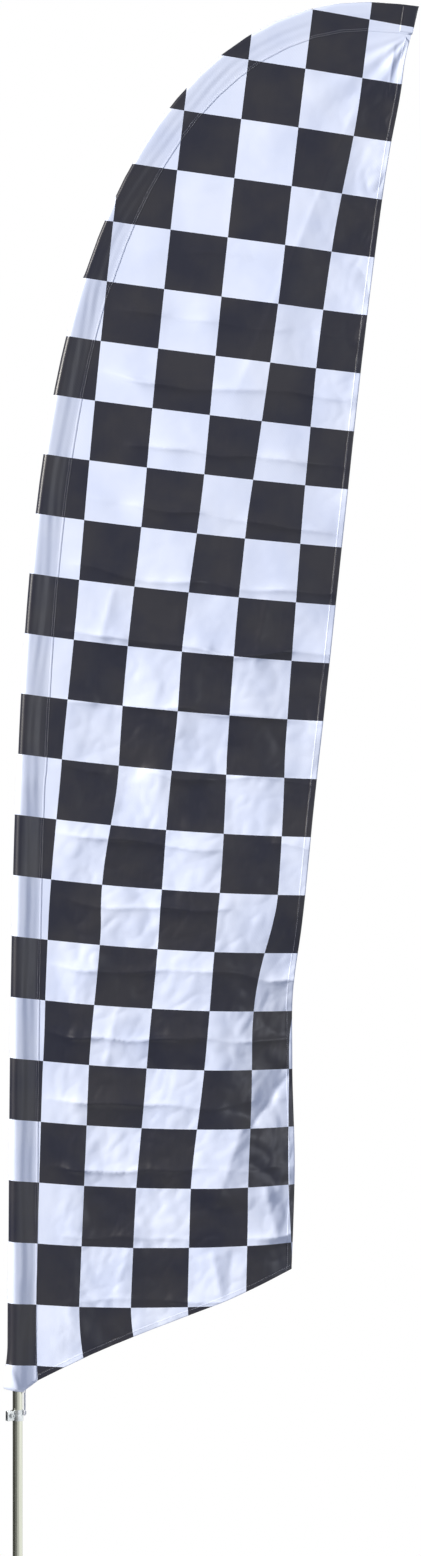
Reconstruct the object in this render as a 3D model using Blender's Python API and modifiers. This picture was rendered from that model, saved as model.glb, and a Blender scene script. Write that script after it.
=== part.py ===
"""Feather flag with pole: a checkered swooper flag on a bent sectional pole, which turns on a ground spike.

Metres, +Z up.  The origin is on the pole's straight lower axis at ground level, +X points to the
flag's free edge, and the flag hangs in the XZ plane.
"""

import math

import bmesh
import bpy
from mathutils import Matrix, Vector

# ------------------------------------------------------------------ driving dimensions
GAP = 0.0003  # between pieces that touch

# pole, measured along its bend from the ground
POLE_LENGTH = 5.08
BEND_START = 1.20  # below this the pole is straight
BEND_TIP_ANGLE = math.radians(97.0)  # how far the tip has turned from the vertical
BEND_DECAY = 0.618  # length over which the bend dies away, going down
BEND_EASE = 0.15  # the free end of the rod stays nearly straight over this length
POLE_STEP = 0.08  # spacing of the pole line's points
LOWER_TUBE_TOP = 1.26
MIDDLE_TUBE_TOP = 2.52
UPPER_ROD_TOP = 3.80
PLUG_DEPTH = 0.10  # how far each section goes into the one below
LOWER_TUBE_RADIUS = 0.0127
LOWER_TUBE_WALL = 0.0014
MIDDLE_TUBE_WALL = 0.0013
UPPER_ROD_RADIUS = 0.00625
TIP_ROD_RADIUS = 0.0040
TIP_ROD_END_RADIUS = 0.0022
TIP_CAP_RADIUS = 0.0045
TIP_CAP_LENGTH = 0.016
FERRULE_COLLAR = 0.008  # length of the collar that sits on the tube's end
UPPER_FERRULE_RADIUS = 0.0080
UPPER_FERRULE_BELOW = 0.030  # how much of the upper rod the ferrule covers

# flag
FLAG_BOTTOM = 1.050
FLAG_WIDTH = 0.722  # from the sleeve's fold to the lower corner of the free edge
HEM_RISE = 0.310  # the free corner stands this much above the sleeve's foot
HEM_FOOT_RISE = 0.0215  # and the hem meets the sleeve this much above its foot
SLEEVE_WIDTH = 0.070  # flat width of the pole pocket
SLEEVE_WALL = 0.0015
SLEEVE_SLACK = 0.0115  # between the lower tube and the sleeve's fold
SLEEVE_EASE = 0.0008  # room for the pole through the sleeve's thickness, where it is snug
SEAM_THICKNESS = 0.004  # of the sleeve's inner edge
SAIL_THICKNESS = 0.003
POCKET_LENGTH = 0.006
SAIL_COLUMNS = 10
ROLL_LENGTH = 0.50  # the sail hangs in soft vertical rolls, this far from crest to crest
ROLL_DEPTH_FOOT = 0.035
ROLL_DEPTH_TOP = 0.006
ROLL_START = 0.15  # the rolls grow to their full depth over this distance from the seam
# free edge: share of its height, and share of its lean from the lower corner to the tip
FLY_EDGE = ((0.0, 0.0), (0.19, 0.0), (0.39, 0.205), (0.60, 0.435), (0.815, 0.683), (0.957, 0.907))

# ground spike and bearing
STEP_LENGTH = 0.110
STEP_WIDTH = 0.045
STEP_THICKNESS = 0.005
STEP_CORNER = 0.008
SPIKE_RADIUS = 0.008
SPIKE_DEPTH = 0.50
SPIKE_POINT = 0.060
JOURNAL_RADIUS = 0.006
SPINDLE_HEIGHT = 0.2418  # of the spindle sleeve above its flange
SPINDLE_FLANGE = 0.004
SPINDLE_CHAMFER = 0.001
FLANGE_OVERHANG = 0.0023  # the spindle's flange and the races stand out this far past the tube
RACE_THICKNESS = 0.003
BALL_RADIUS = 0.002
BALL_COUNT = 9
CAGE_THICKNESS = 0.0022
CAGE_WIDTH = 0.003
JOURNAL_WASHER = 0.0015
RETAINING_RING = 0.0012
GROOVE_DEPTH = 0.001
JOURNAL_END = 0.004  # of the journal above its groove
JOURNAL_CHAMFER = 0.001
RING_REACH = 0.0030  # how far the retaining ring stands out of its groove's floor
RING_OPENING = math.radians(70.0)

# tie clamp under the flag
CLAMP_HEIGHT = 0.989
CLAMP_TALL = 0.028
CLAMP_WALL = 0.0020
CLAMP_TURN = math.radians(40.0)  # the ears point left and towards the front
EAR_BEYOND = 0.013  # of the ears past the screw
EAR_TALL = 0.025
EAR_GAP = 0.005
EAR_THICKNESS = 0.0025
EAR_CORNER = 0.005
SCREW_OFFSET = 0.007  # from the band's outside to the screw's line
SCREW_RADIUS = 0.003
SCREW_LENGTH = 0.0185
SCREW_HEAD_RADIUS = 0.0055
SCREW_HEAD_HEIGHT = 0.0045
SCREW_CHAMFER = 0.0008
SCREW_SOCKET_RADIUS = 0.0028
SCREW_SOCKET_DEPTH = 0.0025
HOLE_CLEARANCE = 0.0003
WASHER_RADIUS = 0.0065
WASHER_THICKNESS = 0.0012
NUT_FLATS = 0.010
NUT_HEIGHT = 0.005

# tie between the flag's corner and the clamp
TIE_RADIUS = 0.0025
TIE_STUD_RISE = 0.006  # above the clamp's middle
STUD_RADIUS = 0.0024
STUD_HEAD_RADIUS = 0.0045
STUD_HEAD_THICKNESS = 0.0018
TAB_WIDTH = 0.012
TAB_THICKNESS = 0.005
TAB_DROP = 0.0060
TAB_EDGE = 0.001

TUBE_SIDES = 16
TURNED_STEPS = 24
FOLD_SIDES = 8  # of the sleeve's round side

# ------------------------------------------------------------------ sizes that follow
LOWER_BORE = LOWER_TUBE_RADIUS - LOWER_TUBE_WALL
MIDDLE_TUBE_RADIUS = LOWER_BORE - GAP
MIDDLE_BORE = MIDDLE_TUBE_RADIUS - MIDDLE_TUBE_WALL
UPPER_FERRULE_TOP = UPPER_ROD_TOP + FERRULE_COLLAR
TIP_ROD_FOOT = UPPER_ROD_TOP - PLUG_DEPTH
TIP_ROD_TOP = POLE_LENGTH - TIP_CAP_LENGTH / 2
SLEEVE_TOP = POLE_LENGTH + GAP

RACE_RADIUS = LOWER_TUBE_RADIUS + FLANGE_OVERHANG
LOWER_RACE_Z = STEP_THICKNESS + GAP
BALL_Z = LOWER_RACE_Z + RACE_THICKNESS + GAP + BALL_RADIUS
UPPER_RACE_Z = BALL_Z + BALL_RADIUS + GAP
FLANGE_Z = UPPER_RACE_Z + RACE_THICKNESS + GAP
POLE_FOOT = FLANGE_Z + SPINDLE_FLANGE + GAP
SPINDLE_TOP = FLANGE_Z + SPINDLE_FLANGE + SPINDLE_HEIGHT
WASHER_Z = SPINDLE_TOP + GAP
GROOVE_Z = WASHER_Z + JOURNAL_WASHER
RING_Z = GROOVE_Z + GAP
GROOVE_TOP = RING_Z + RETAINING_RING + GAP
JOURNAL_TOP = GROOVE_TOP + JOURNAL_END
RACE_BORE = SPIKE_RADIUS + GAP
SPINDLE_RADIUS = LOWER_BORE - GAP

CLAMP_BORE = LOWER_TUBE_RADIUS + GAP
CLAMP_RADIUS = CLAMP_BORE + CLAMP_WALL
SCREW_REACH = CLAMP_RADIUS + SCREW_OFFSET
EAR_REACH = SCREW_REACH + EAR_BEYOND
EAR_FACE = EAR_GAP / 2 + EAR_THICKNESS
SCREW_HOLE = SCREW_RADIUS + HOLE_CLEARANCE
STUD_Z = CLAMP_HEIGHT + TIE_STUD_RISE
EYE_RADIUS = STUD_RADIUS + GAP + TIE_RADIUS  # middle of the cord where it goes round the stud
TIE_X = CLAMP_RADIUS + 2 * GAP + TIE_RADIUS
TIE_TOP = FLAG_BOTTOM - GAP - TAB_DROP - GAP
TIE_FOOT = STUD_Z + EYE_RADIUS + TIE_RADIUS + GAP


# ------------------------------------------------------------------ scene and materials
for old in list(bpy.data.objects):
    bpy.data.objects.remove(old, do_unlink=True)

parts = bpy.data.collections.new("feather_flag")
cutters = bpy.data.collections.new("cutters")
bpy.context.scene.collection.children.link(parts)
bpy.context.scene.collection.children.link(cutters)


def material(name, color, roughness, metallic=0.0):
    made = bpy.data.materials.new(name)
    made.use_nodes = True
    shader = made.node_tree.nodes["Principled BSDF"]
    shader.inputs["Base Color"].default_value = (*color, 1.0)
    shader.inputs["Roughness"].default_value = roughness
    shader.inputs["Metallic"].default_value = metallic
    return made


zinc_steel = material("zinc_plated_steel", (0.56, 0.57, 0.58), 0.38, 1.0)
bearing_steel = material("bearing_steel", (0.62, 0.62, 0.63), 0.22, 1.0)
cage_nylon = material("cage_nylon", (0.20, 0.20, 0.19), 0.5)
tube_aluminium = material("drawn_aluminium", (0.66, 0.67, 0.66), 0.33, 1.0)
fibreglass = material("pultruded_fibreglass", (0.70, 0.71, 0.68), 0.35)
tip_rubber = material("tip_rubber", (0.03, 0.03, 0.03), 0.7)
flag_polyester = material("printed_polyester", (0.72, 0.75, 0.86), 0.55)
tie_webbing = material("white_webbing", (0.80, 0.80, 0.82), 0.8)
tie_elastic = material("white_elastic", (0.82, 0.83, 0.85), 0.7)


# ------------------------------------------------------------------ modelling helpers
def add_object(name, data, finish, collection=parts):
    made = bpy.data.objects.new(name, data)
    collection.objects.link(made)
    if finish is not None:
        data.materials.append(finish)
    if collection is cutters:
        made.hide_render = True
        made.display_type = "WIRE"
    return made


def smooth(mesh):
    mesh.shade_smooth()
    mesh.set_sharp_from_angle(angle=math.radians(35))


def turned(name, profile, finish, collection=parts, closed=False):
    """A turned piece: the (radius, height) profile runs down its outer side, then up its bore."""
    mesh = bpy.data.meshes.new(name)
    edges = [(i, i + 1) for i in range(len(profile) - 1)]
    if closed:
        edges.append((len(profile) - 1, 0))
    mesh.from_pydata([(radius, 0.0, height) for radius, height in profile], edges, [])
    made = add_object(name, mesh, finish, collection)
    screw = made.modifiers.new("turn", "SCREW")
    screw.steps = TURNED_STEPS
    screw.render_steps = TURNED_STEPS
    screw.use_merge_vertices = True
    screw.merge_threshold = 0.00001
    screw.use_smooth_shade = True
    return made


def ring(name, outer, bore, low, high, finish, collection=parts):
    """A plain round washer, race or bush."""
    profile = [(outer, high), (outer, low), (bore, low), (bore, high)]
    return turned(name, profile, finish, collection, closed=True)


def rod(name, radius, low, high, finish=None, collection=cutters):
    """A plain round bar along Z."""
    return turned(name, [(0.0, high), (radius, high), (radius, low), (0.0, low)], finish, collection)


def block(name, size, place, finish=None, collection=cutters):
    mesh = bpy.data.meshes.new(name)
    shape = bmesh.new()
    bmesh.ops.create_cube(shape, size=1.0)
    bmesh.ops.scale(shape, vec=size, verts=shape.verts)
    shape.to_mesh(mesh)
    shape.free()
    made = add_object(name, mesh, finish, collection)
    made.location = place
    return made


def boolean(target, tool, operation="DIFFERENCE"):
    cut = target.modifiers.new(operation.lower(), "BOOLEAN")
    cut.operation = operation
    cut.object = tool


def turn_to(made, direction):
    """Turn a piece that was made along +Z so that it lies along a direction."""
    made.rotation_mode = "QUATERNION"
    made.rotation_quaternion = Vector(direction).to_track_quat("Z", "Y")


# ------------------------------------------------------------------ the pole's bent line
def bend_share(distance):
    rest = POLE_LENGTH - distance
    return math.exp(-(math.hypot(rest, BEND_EASE) - BEND_EASE) / BEND_DECAY)


def bend_angle(distance):
    """The pole's angle from the vertical: nothing at the foot, and most of it in the last metre."""
    foot = bend_share(BEND_START)
    share = (bend_share(max(distance, BEND_START)) - foot) / (1.0 - foot)
    return BEND_TIP_ANGLE * share


def bent_line():
    points = [Vector((0.0, 0.0, 0.0))]
    count = math.ceil(POLE_LENGTH / POLE_STEP) + 2
    for number in range(count):
        angle = bend_angle((number + 0.5) * POLE_STEP)
        points.append(points[-1] + POLE_STEP * Vector((math.sin(angle), 0.0, math.cos(angle))))
    return points


POLE_LINE = bent_line()


def pole_point(distance):
    """A point on the pole's line; it runs on straight past both ends."""
    number = min(max(int(distance // POLE_STEP), 0), len(POLE_LINE) - 2)
    share = distance / POLE_STEP - number
    return POLE_LINE[number].lerp(POLE_LINE[number + 1], share)


def outward(distance):
    """The direction across the pole, away from the flag."""
    angle = bend_angle(distance)
    return Vector((-math.cos(angle), 0.0, math.sin(angle)))


def distances(low, high, step):
    """Both ends, and the pole line's own points between them."""
    first = math.floor(low / step) + 1
    last = math.ceil(high / step) - 1
    inner = [number * step for number in range(first, last + 1)]
    inner = [place for place in inner if place - low > step / 20 and high - place > step / 20]
    return [low, *inner, high]


def along_pole(name, stations, finish, collection=parts):
    """A round bar that follows the pole's line; stations are (distance, radius) pairs."""
    curve = bpy.data.curves.new(name, "CURVE")
    curve.dimensions = "3D"
    curve.bevel_depth = 1.0
    curve.bevel_resolution = TUBE_SIDES // 2 - 2
    curve.use_fill_caps = True
    spline = curve.splines.new("POLY")
    spline.points.add(len(stations) - 1)
    for point, (distance, radius) in zip(spline.points, stations):
        point.co = (*pole_point(distance), 1.0)
        point.radius = radius
    guide = bpy.data.objects.new(name + "_line", curve)
    cutters.objects.link(guide)
    bpy.context.view_layer.update()
    mesh = bpy.data.meshes.new_from_object(guide.evaluated_get(bpy.context.evaluated_depsgraph_get()))
    mesh.name = name
    shape = bmesh.new()
    shape.from_mesh(mesh)
    bmesh.ops.remove_doubles(shape, verts=shape.verts, dist=0.00001)
    shape.to_mesh(mesh)
    shape.free()
    smooth(mesh)
    made = add_object(name, mesh, finish, collection)
    made.matrix_world = guide.matrix_world
    bpy.data.objects.remove(guide, do_unlink=True)
    return made


def plain_stations(low, high, radius):
    return [(distance, radius) for distance in distances(low, high, POLE_STEP)]


def bore_along_pole(target, low, high, radius):
    """A round hole that follows the pole's line between two distances."""
    boolean(target, along_pole(target.name + "_bore", plain_stations(low, high, radius), None, cutters))


# ------------------------------------------------------------------ ground spike
def make_spike_rod():
    """A pointed steel rod, with the journal that the bearing and the spindle turn on above ground."""
    groove = JOURNAL_RADIUS - GROOVE_DEPTH
    shoulder = UPPER_RACE_Z + RACE_THICKNESS
    profile = [
        (0.0, JOURNAL_TOP),
        (JOURNAL_RADIUS - JOURNAL_CHAMFER, JOURNAL_TOP),
        (JOURNAL_RADIUS, JOURNAL_TOP - JOURNAL_CHAMFER),
        (JOURNAL_RADIUS, GROOVE_TOP),
        (groove, GROOVE_TOP),
        (groove, GROOVE_Z),
        (JOURNAL_RADIUS, GROOVE_Z),
        (JOURNAL_RADIUS, shoulder),
        (SPIKE_RADIUS, shoulder),
        (SPIKE_RADIUS, SPIKE_POINT - SPIKE_DEPTH),
        (0.0, -SPIKE_DEPTH),
    ]
    turned("spike_rod", profile, zinc_steel)


def rounded_outline(curve, width, height, corner, arc_steps=5):
    """A rectangle with round corners, as one closed outline."""
    corners = ((1, 1, 0), (-1, 1, 90), (-1, -1, 180), (1, -1, 270))
    points = []
    for side_x, side_y, start in corners:
        for step in range(arc_steps + 1):
            angle = math.radians(start + 90 * step / arc_steps)
            x = side_x * (width / 2 - corner) + corner * math.cos(angle)
            y = side_y * (height / 2 - corner) + corner * math.sin(angle)
            points.append((x, y))
    add_outline(curve, points)


def add_outline(curve, points):
    spline = curve.splines.new("POLY")
    spline.points.add(len(points) - 1)
    for point, (x, y) in zip(spline.points, points):
        point.co = (x, y, 0.0, 1.0)
    spline.use_cyclic_u = True


def circle_points(radius, count):
    turns = [2 * math.pi * number / count for number in range(count)]
    return [(radius * math.cos(turn), radius * math.sin(turn)) for turn in turns]


def flat_plate(name, thickness, finish):
    curve = bpy.data.curves.new(name, "CURVE")
    curve.dimensions = "2D"
    curve.fill_mode = "BOTH"
    curve.extrude = thickness / 2
    return curve, add_object(name, curve, finish)


def make_step_plate():
    """The plate that a foot presses into the turf; the rod is welded through it."""
    curve, plate = flat_plate("step_plate", STEP_THICKNESS, zinc_steel)
    rounded_outline(curve, STEP_LENGTH, STEP_WIDTH, STEP_CORNER)
    add_outline(curve, circle_points(SPIKE_RADIUS + GAP, TURNED_STEPS))
    plate.location.z = STEP_THICKNESS / 2


def make_bearing():
    """Two hardened washers and a nylon cage of balls between them."""
    ring("lower_race", RACE_RADIUS, RACE_BORE, LOWER_RACE_Z, LOWER_RACE_Z + RACE_THICKNESS, bearing_steel)
    ring("upper_race", RACE_RADIUS, RACE_BORE, UPPER_RACE_Z, UPPER_RACE_Z + RACE_THICKNESS, bearing_steel)
    middle = (RACE_RADIUS + RACE_BORE) / 2
    low = BALL_Z - CAGE_THICKNESS / 2
    cage = ring(
        "ball_cage", middle + CAGE_WIDTH / 2, middle - CAGE_WIDTH / 2, low, low + CAGE_THICKNESS, cage_nylon
    )
    balls = bpy.data.meshes.new("balls")
    shape = bmesh.new()
    for number in range(BALL_COUNT):
        turn = 2 * math.pi * number / BALL_COUNT
        place = Matrix.Translation((middle * math.cos(turn), middle * math.sin(turn), BALL_Z))
        bmesh.ops.create_uvsphere(
            shape, u_segments=8, v_segments=6, radius=BALL_RADIUS, matrix=place
        )
    shape.to_mesh(balls)
    shape.free()
    boolean(cage, add_object("balls", balls, None, cutters), "UNION")


def make_spindle():
    """The flanged sleeve that turns on the journal, with the washer and ring that keep it on."""
    bore = JOURNAL_RADIUS + GAP
    flange_top = FLANGE_Z + SPINDLE_FLANGE
    profile = [
        (SPINDLE_RADIUS - SPINDLE_CHAMFER, SPINDLE_TOP),
        (SPINDLE_RADIUS, SPINDLE_TOP - 2 * SPINDLE_CHAMFER),
        (SPINDLE_RADIUS, flange_top),
        (RACE_RADIUS, flange_top),
        (RACE_RADIUS, FLANGE_Z),
        (bore, FLANGE_Z),
        (bore, SPINDLE_TOP),
    ]
    turned("spindle_sleeve", profile, zinc_steel, closed=True)
    washer_radius = SPINDLE_RADIUS - SPINDLE_CHAMFER
    ring("journal_washer", washer_radius, bore, WASHER_Z, WASHER_Z + JOURNAL_WASHER - GAP / 2, zinc_steel)
    ring_bore = JOURNAL_RADIUS - GROOVE_DEPTH + GAP
    keeper_radius = ring_bore + RING_REACH
    keeper = ring("retaining_ring", keeper_radius, ring_bore, RING_Z, RING_Z + RETAINING_RING, bearing_steel)
    reach = 2 * keeper_radius
    mouth = 2 * ring_bore * math.sin(RING_OPENING / 2)
    boolean(keeper, block("ring_mouth", (reach, mouth, 4 * RETAINING_RING), (reach / 2, 0.0, RING_Z)))


# ------------------------------------------------------------------ pole sections
def make_lower_tube():
    stations = plain_stations(POLE_FOOT, LOWER_TUBE_TOP, LOWER_TUBE_RADIUS)
    tube = along_pole("lower_tube", stations, tube_aluminium)
    bore_along_pole(tube, POLE_FOOT - POLE_STEP, LOWER_TUBE_TOP + POLE_STEP, LOWER_BORE)


def make_middle_tube():
    foot = LOWER_TUBE_TOP - PLUG_DEPTH
    stations = plain_stations(foot, MIDDLE_TUBE_TOP, MIDDLE_TUBE_RADIUS)
    tube = along_pole("middle_tube", stations, tube_aluminium)
    bore_along_pole(tube, foot - POLE_STEP, MIDDLE_TUBE_TOP + POLE_STEP, MIDDLE_BORE)


def make_middle_ferrule():
    """A stepped bush: it fills the middle tube's end and centres the thinner rod."""
    foot = MIDDLE_TUBE_TOP - PLUG_DEPTH
    seat = MIDDLE_TUBE_TOP + GAP
    plug = MIDDLE_BORE - GAP
    stations = plain_stations(foot, seat, plug)
    stations += plain_stations(seat + GAP / 10, seat + FERRULE_COLLAR, MIDDLE_TUBE_RADIUS)
    ferrule = along_pole("middle_ferrule", stations, zinc_steel)
    bore_along_pole(ferrule, foot - POLE_STEP, seat + POLE_STEP, UPPER_ROD_RADIUS + GAP)


def make_upper_rod():
    """A fibreglass tube from the middle ferrule up; the tip rod plugs into its bore."""
    foot = MIDDLE_TUBE_TOP - PLUG_DEPTH
    tube = along_pole("upper_rod", plain_stations(foot, UPPER_ROD_TOP, UPPER_ROD_RADIUS), fibreglass)
    bore_along_pole(tube, foot - POLE_STEP, UPPER_ROD_TOP + POLE_STEP, TIP_ROD_RADIUS + GAP)


def make_upper_ferrule():
    """A metal sleeve that keeps the end of the upper rod from splitting."""
    foot = UPPER_ROD_TOP - UPPER_FERRULE_BELOW
    stations = plain_stations(foot, UPPER_FERRULE_TOP, UPPER_FERRULE_RADIUS)
    ferrule = along_pole("upper_ferrule", stations, zinc_steel)
    bore_along_pole(ferrule, foot - POLE_STEP, UPPER_ROD_TOP + GAP, UPPER_ROD_RADIUS + GAP)
    bore_along_pole(ferrule, UPPER_ROD_TOP, UPPER_FERRULE_TOP + POLE_STEP, TIP_ROD_RADIUS + GAP)


def tip_rod_radius(distance):
    """The tip rod tapers from the ferrule to its end."""
    share = max(0.0, (distance - UPPER_FERRULE_TOP) / (TIP_ROD_TOP - UPPER_FERRULE_TOP))
    return TIP_ROD_RADIUS + (TIP_ROD_END_RADIUS - TIP_ROD_RADIUS) * share


def make_tip_rod():
    places = distances(TIP_ROD_FOOT, TIP_ROD_TOP, POLE_STEP)
    along_pole("tip_rod", [(place, tip_rod_radius(place)) for place in places], fibreglass)


def make_tip_cap():
    """A rubber cap on the rod's end, so that it can't push through the pocket."""
    foot = TIP_ROD_TOP - TIP_CAP_LENGTH / 2
    rounding = TIP_CAP_RADIUS / 2
    stations = plain_stations(foot, POLE_LENGTH - rounding, TIP_CAP_RADIUS)
    stations.append((POLE_LENGTH - rounding / 4, TIP_CAP_RADIUS * 0.85))
    stations.append((POLE_LENGTH, TIP_CAP_RADIUS * 0.5))
    cap = along_pole("tip_cap", stations, tip_rubber)
    hole = TIP_ROD_END_RADIUS + 2 * GAP
    bore_along_pole(cap, foot - POLE_STEP / 2, TIP_ROD_TOP + GAP, hole)


# ------------------------------------------------------------------ flag
def covered_radius(distance):
    """The pole under the sleeve; cloth bridges the steps between the sections."""
    below = distance - POLE_STEP
    if below < LOWER_TUBE_TOP:
        return LOWER_TUBE_RADIUS
    if below < MIDDLE_TUBE_TOP + GAP + FERRULE_COLLAR:
        return MIDDLE_TUBE_RADIUS
    if below < UPPER_FERRULE_TOP:
        return UPPER_FERRULE_RADIUS
    return max(tip_rod_radius(below), TIP_CAP_RADIUS)


def sleeve_slack(distance):
    """Between the pole and the sleeve's fold: loose at the foot, snug at the tip."""
    share = (distance - FLAG_BOTTOM) / (SLEEVE_TOP - FLAG_BOTTOM)
    return SLEEVE_SLACK + (GAP - SLEEVE_SLACK) * share


def fold_offset(distance):
    """From the pole's axis to the outside of the sleeve's fold."""
    return covered_radius(distance) + sleeve_slack(distance) + SLEEVE_WALL


def fold_radius(distance):
    """The sleeve's round side, with room for the pole through its thickness."""
    return covered_radius(distance) + SLEEVE_WALL + SLEEVE_EASE + sleeve_slack(distance) / 2


def seam_point(distance, gap=0.0):
    """The sleeve's inner edge, where the sail is sewn to it."""
    return pole_point(distance) + outward(distance) * (fold_offset(distance) - SLEEVE_WIDTH - gap)


def sleeve_section(distance):
    """A teardrop across the pole: round at the fold, thin at the seam."""
    across = outward(distance)
    radius = fold_radius(distance)
    centre = pole_point(distance) + across * (fold_offset(distance) - radius)
    reach = math.radians(100)
    points = []
    for number in range(FOLD_SIDES + 1):
        turn = reach * (2 * number / FOLD_SIDES - 1)
        points.append(centre + across * (radius * math.cos(turn)) + Vector((0, radius * math.sin(turn), 0)))
    for side in (0.5, -0.5):
        points.append(seam_point(distance) + Vector((0, side * SEAM_THICKNESS, 0)))
    return points


def make_pole_sleeve():
    """A cloth pocket round the pole, lofted up its bend, with its open foot at the bottom."""
    mesh = bpy.data.meshes.new("pole_sleeve")
    shape = bmesh.new()
    rings = []
    for distance in distances(FLAG_BOTTOM, SLEEVE_TOP, POLE_STEP):
        rings.append([shape.verts.new(point) for point in sleeve_section(distance)])
    for below, above in zip(rings, rings[1:]):
        for number in range(len(below)):
            after = (number + 1) % len(below)
            shape.faces.new((below[number], above[number], above[after], below[after]))
    bmesh.ops.recalc_face_normals(shape, faces=shape.faces)
    shape.to_mesh(mesh)
    shape.free()
    smooth(mesh)
    sleeve = add_object("pole_sleeve", mesh, flag_polyester)
    shell = sleeve.modifiers.new("cloth", "SOLIDIFY")
    shell.thickness = SLEEVE_WALL
    shell.offset = -1.0


def fly_edge_share(height_share):
    """The free edge's lean at a share of its height, read from a smooth curve through its points."""
    points = [*FLY_EDGE, (1.0, 1.0)]
    for number, (low, high) in enumerate(zip(points, points[1:])):
        if height_share <= high[0] or number == len(points) - 2:
            before = points[max(number - 1, 0)]
            beyond = points[min(number + 2, len(points) - 1)]
            share = (height_share - low[0]) / (high[0] - low[0])
            start = (high[1] - before[1]) / (high[0] - before[0]) * (high[0] - low[0])
            stop = (beyond[1] - low[1]) / (beyond[0] - low[0]) * (high[0] - low[0])
            rise = high[1] - low[1]
            cubic = start + stop - 2 * rise
            square = 3 * rise - 2 * start - stop
            return low[1] + share * (start + share * (square + share * cubic))
    return 1.0


def roll_depth(from_seam, height_share):
    """How far the sail stands out of its plane: flat along the seam, in soft rolls beyond it."""
    depth = ROLL_DEPTH_FOOT + (ROLL_DEPTH_TOP - ROLL_DEPTH_FOOT) * height_share
    return depth * min(1.0, from_seam / ROLL_START) ** 2 * math.sin(2 * math.pi * from_seam / ROLL_LENGTH)


def make_sail_panel():
    """The one-piece sail, lofted from its seam edge along the sleeve to the leaning free edge."""
    places = distances(FLAG_BOTTOM + HEM_FOOT_RISE, SLEEVE_TOP, POLE_STEP)
    seam = [seam_point(place, GAP) for place in places]
    tip = seam[-1]
    corner = Vector((FLAG_WIDTH - fold_offset(FLAG_BOTTOM), 0.0, FLAG_BOTTOM + HEM_RISE))
    mesh = bpy.data.meshes.new("sail_panel")
    shape = bmesh.new()
    rows = []
    for place, start in zip(places[:-1], seam):
        share = (place - places[0]) / (places[-1] - places[0])
        x = corner.x + (tip.x - corner.x) * fly_edge_share(share)
        stop = Vector((x, 0.0, corner.z + (tip.z - corner.z) * share))
        row = []
        for column in range(SAIL_COLUMNS + 1):
            point = start.lerp(stop, column / SAIL_COLUMNS)
            point.y = roll_depth((point - start).length, share)
            row.append(shape.verts.new(point))
        rows.append(row)
    for below, above in zip(rows, rows[1:]):
        for column in range(SAIL_COLUMNS):
            shape.faces.new((below[column], below[column + 1], above[column + 1], above[column]))
    top = shape.verts.new(tip)
    for column in range(SAIL_COLUMNS):
        shape.faces.new((rows[-1][column], rows[-1][column + 1], top))
    shape.to_mesh(mesh)
    shape.free()
    smooth(mesh)
    sail = add_object("sail_panel", mesh, flag_polyester)
    cloth = sail.modifiers.new("cloth", "SOLIDIFY")
    cloth.thickness = SAIL_THICKNESS
    cloth.offset = 0.0


def make_tip_pocket():
    """The reinforced cap sewn over the sleeve's top end, which the rod pushes against."""
    across = outward(SLEEVE_TOP)
    angle = bend_angle(SLEEVE_TOP)
    forward = Vector((math.sin(angle), 0.0, math.cos(angle)))
    centre = pole_point(SLEEVE_TOP) + across * (fold_offset(SLEEVE_TOP) - SLEEVE_WIDTH / 2)
    pocket = block(
        "tip_pocket",
        (SLEEVE_WIDTH, 2 * fold_radius(SLEEVE_TOP), POCKET_LENGTH),
        centre + forward * (POCKET_LENGTH / 2 + 2 * GAP),
        flag_polyester,
        parts,
    )
    pocket.rotation_euler.y = angle
    edge = pocket.modifiers.new("soft_edges", "BEVEL")
    edge.width = POCKET_LENGTH / 3
    edge.segments = 2


def make_corner_tab():
    """The webbing at the sleeve's foot that holds the top of the elastic tie."""
    tab = block(
        "corner_tab",
        (TAB_THICKNESS, TAB_WIDTH, TAB_DROP),
        (TIE_X, 0.0, FLAG_BOTTOM - GAP - TAB_DROP / 2),
        tie_webbing,
        parts,
    )
    edge = tab.modifiers.new("soft_edges", "BEVEL")
    edge.width = TAB_EDGE
    edge.segments = 2


# ------------------------------------------------------------------ tie and clamp
def make_tie_cord():
    """Elastic cord, taut between the flag's corner and the clamp's stud."""
    curve = bpy.data.curves.new("tie_cord", "CURVE")
    curve.dimensions = "3D"
    curve.bevel_depth = TIE_RADIUS
    curve.bevel_resolution = 4
    curve.use_fill_caps = True
    spline = curve.splines.new("POLY")
    steps = 5
    spline.points.add(steps)
    for number, point in enumerate(spline.points):
        height = TIE_TOP + (TIE_FOOT - TIE_TOP) * number / steps
        point.co = (TIE_X, 0.0, height, 1.0)
    add_object("tie_cord", curve, tie_elastic)


def make_cord_eye():
    """The cord's end, turned round the stud and bound."""
    steps = 8
    profile = []
    for number in range(steps):
        turn = -2 * math.pi * number / steps
        profile.append((EYE_RADIUS + TIE_RADIUS * math.cos(turn), TIE_RADIUS * math.sin(turn)))
    eye = turned("cord_eye", profile, tie_elastic, closed=True)
    turn_to(eye, (1.0, 0.0, 0.0))
    eye.location = (TIE_X, 0.0, STUD_Z)


def make_tie_stud():
    """A round-headed stud on the clamp's right side, for the cord's eye."""
    length = 2 * TIE_RADIUS + 2 * GAP
    seat = CLAMP_RADIUS + GAP
    profile = [
        (0.0, length + STUD_HEAD_THICKNESS),
        (STUD_HEAD_RADIUS * 0.7, length + STUD_HEAD_THICKNESS),
        (STUD_HEAD_RADIUS, length + STUD_HEAD_THICKNESS / 2),
        (STUD_HEAD_RADIUS, length),
        (STUD_RADIUS, length),
        (STUD_RADIUS, 0.0),
        (0.0, 0.0),
    ]
    stud = turned("tie_stud", profile, zinc_steel)
    turn_to(stud, (1.0, 0.0, 0.0))
    stud.location = (seat, 0.0, STUD_Z)


clamp_axis = bpy.data.objects.new("clamp_axis", None)
parts.objects.link(clamp_axis)
clamp_axis.location = (0.0, 0.0, CLAMP_HEIGHT)
clamp_axis.rotation_euler.z = CLAMP_TURN


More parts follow.
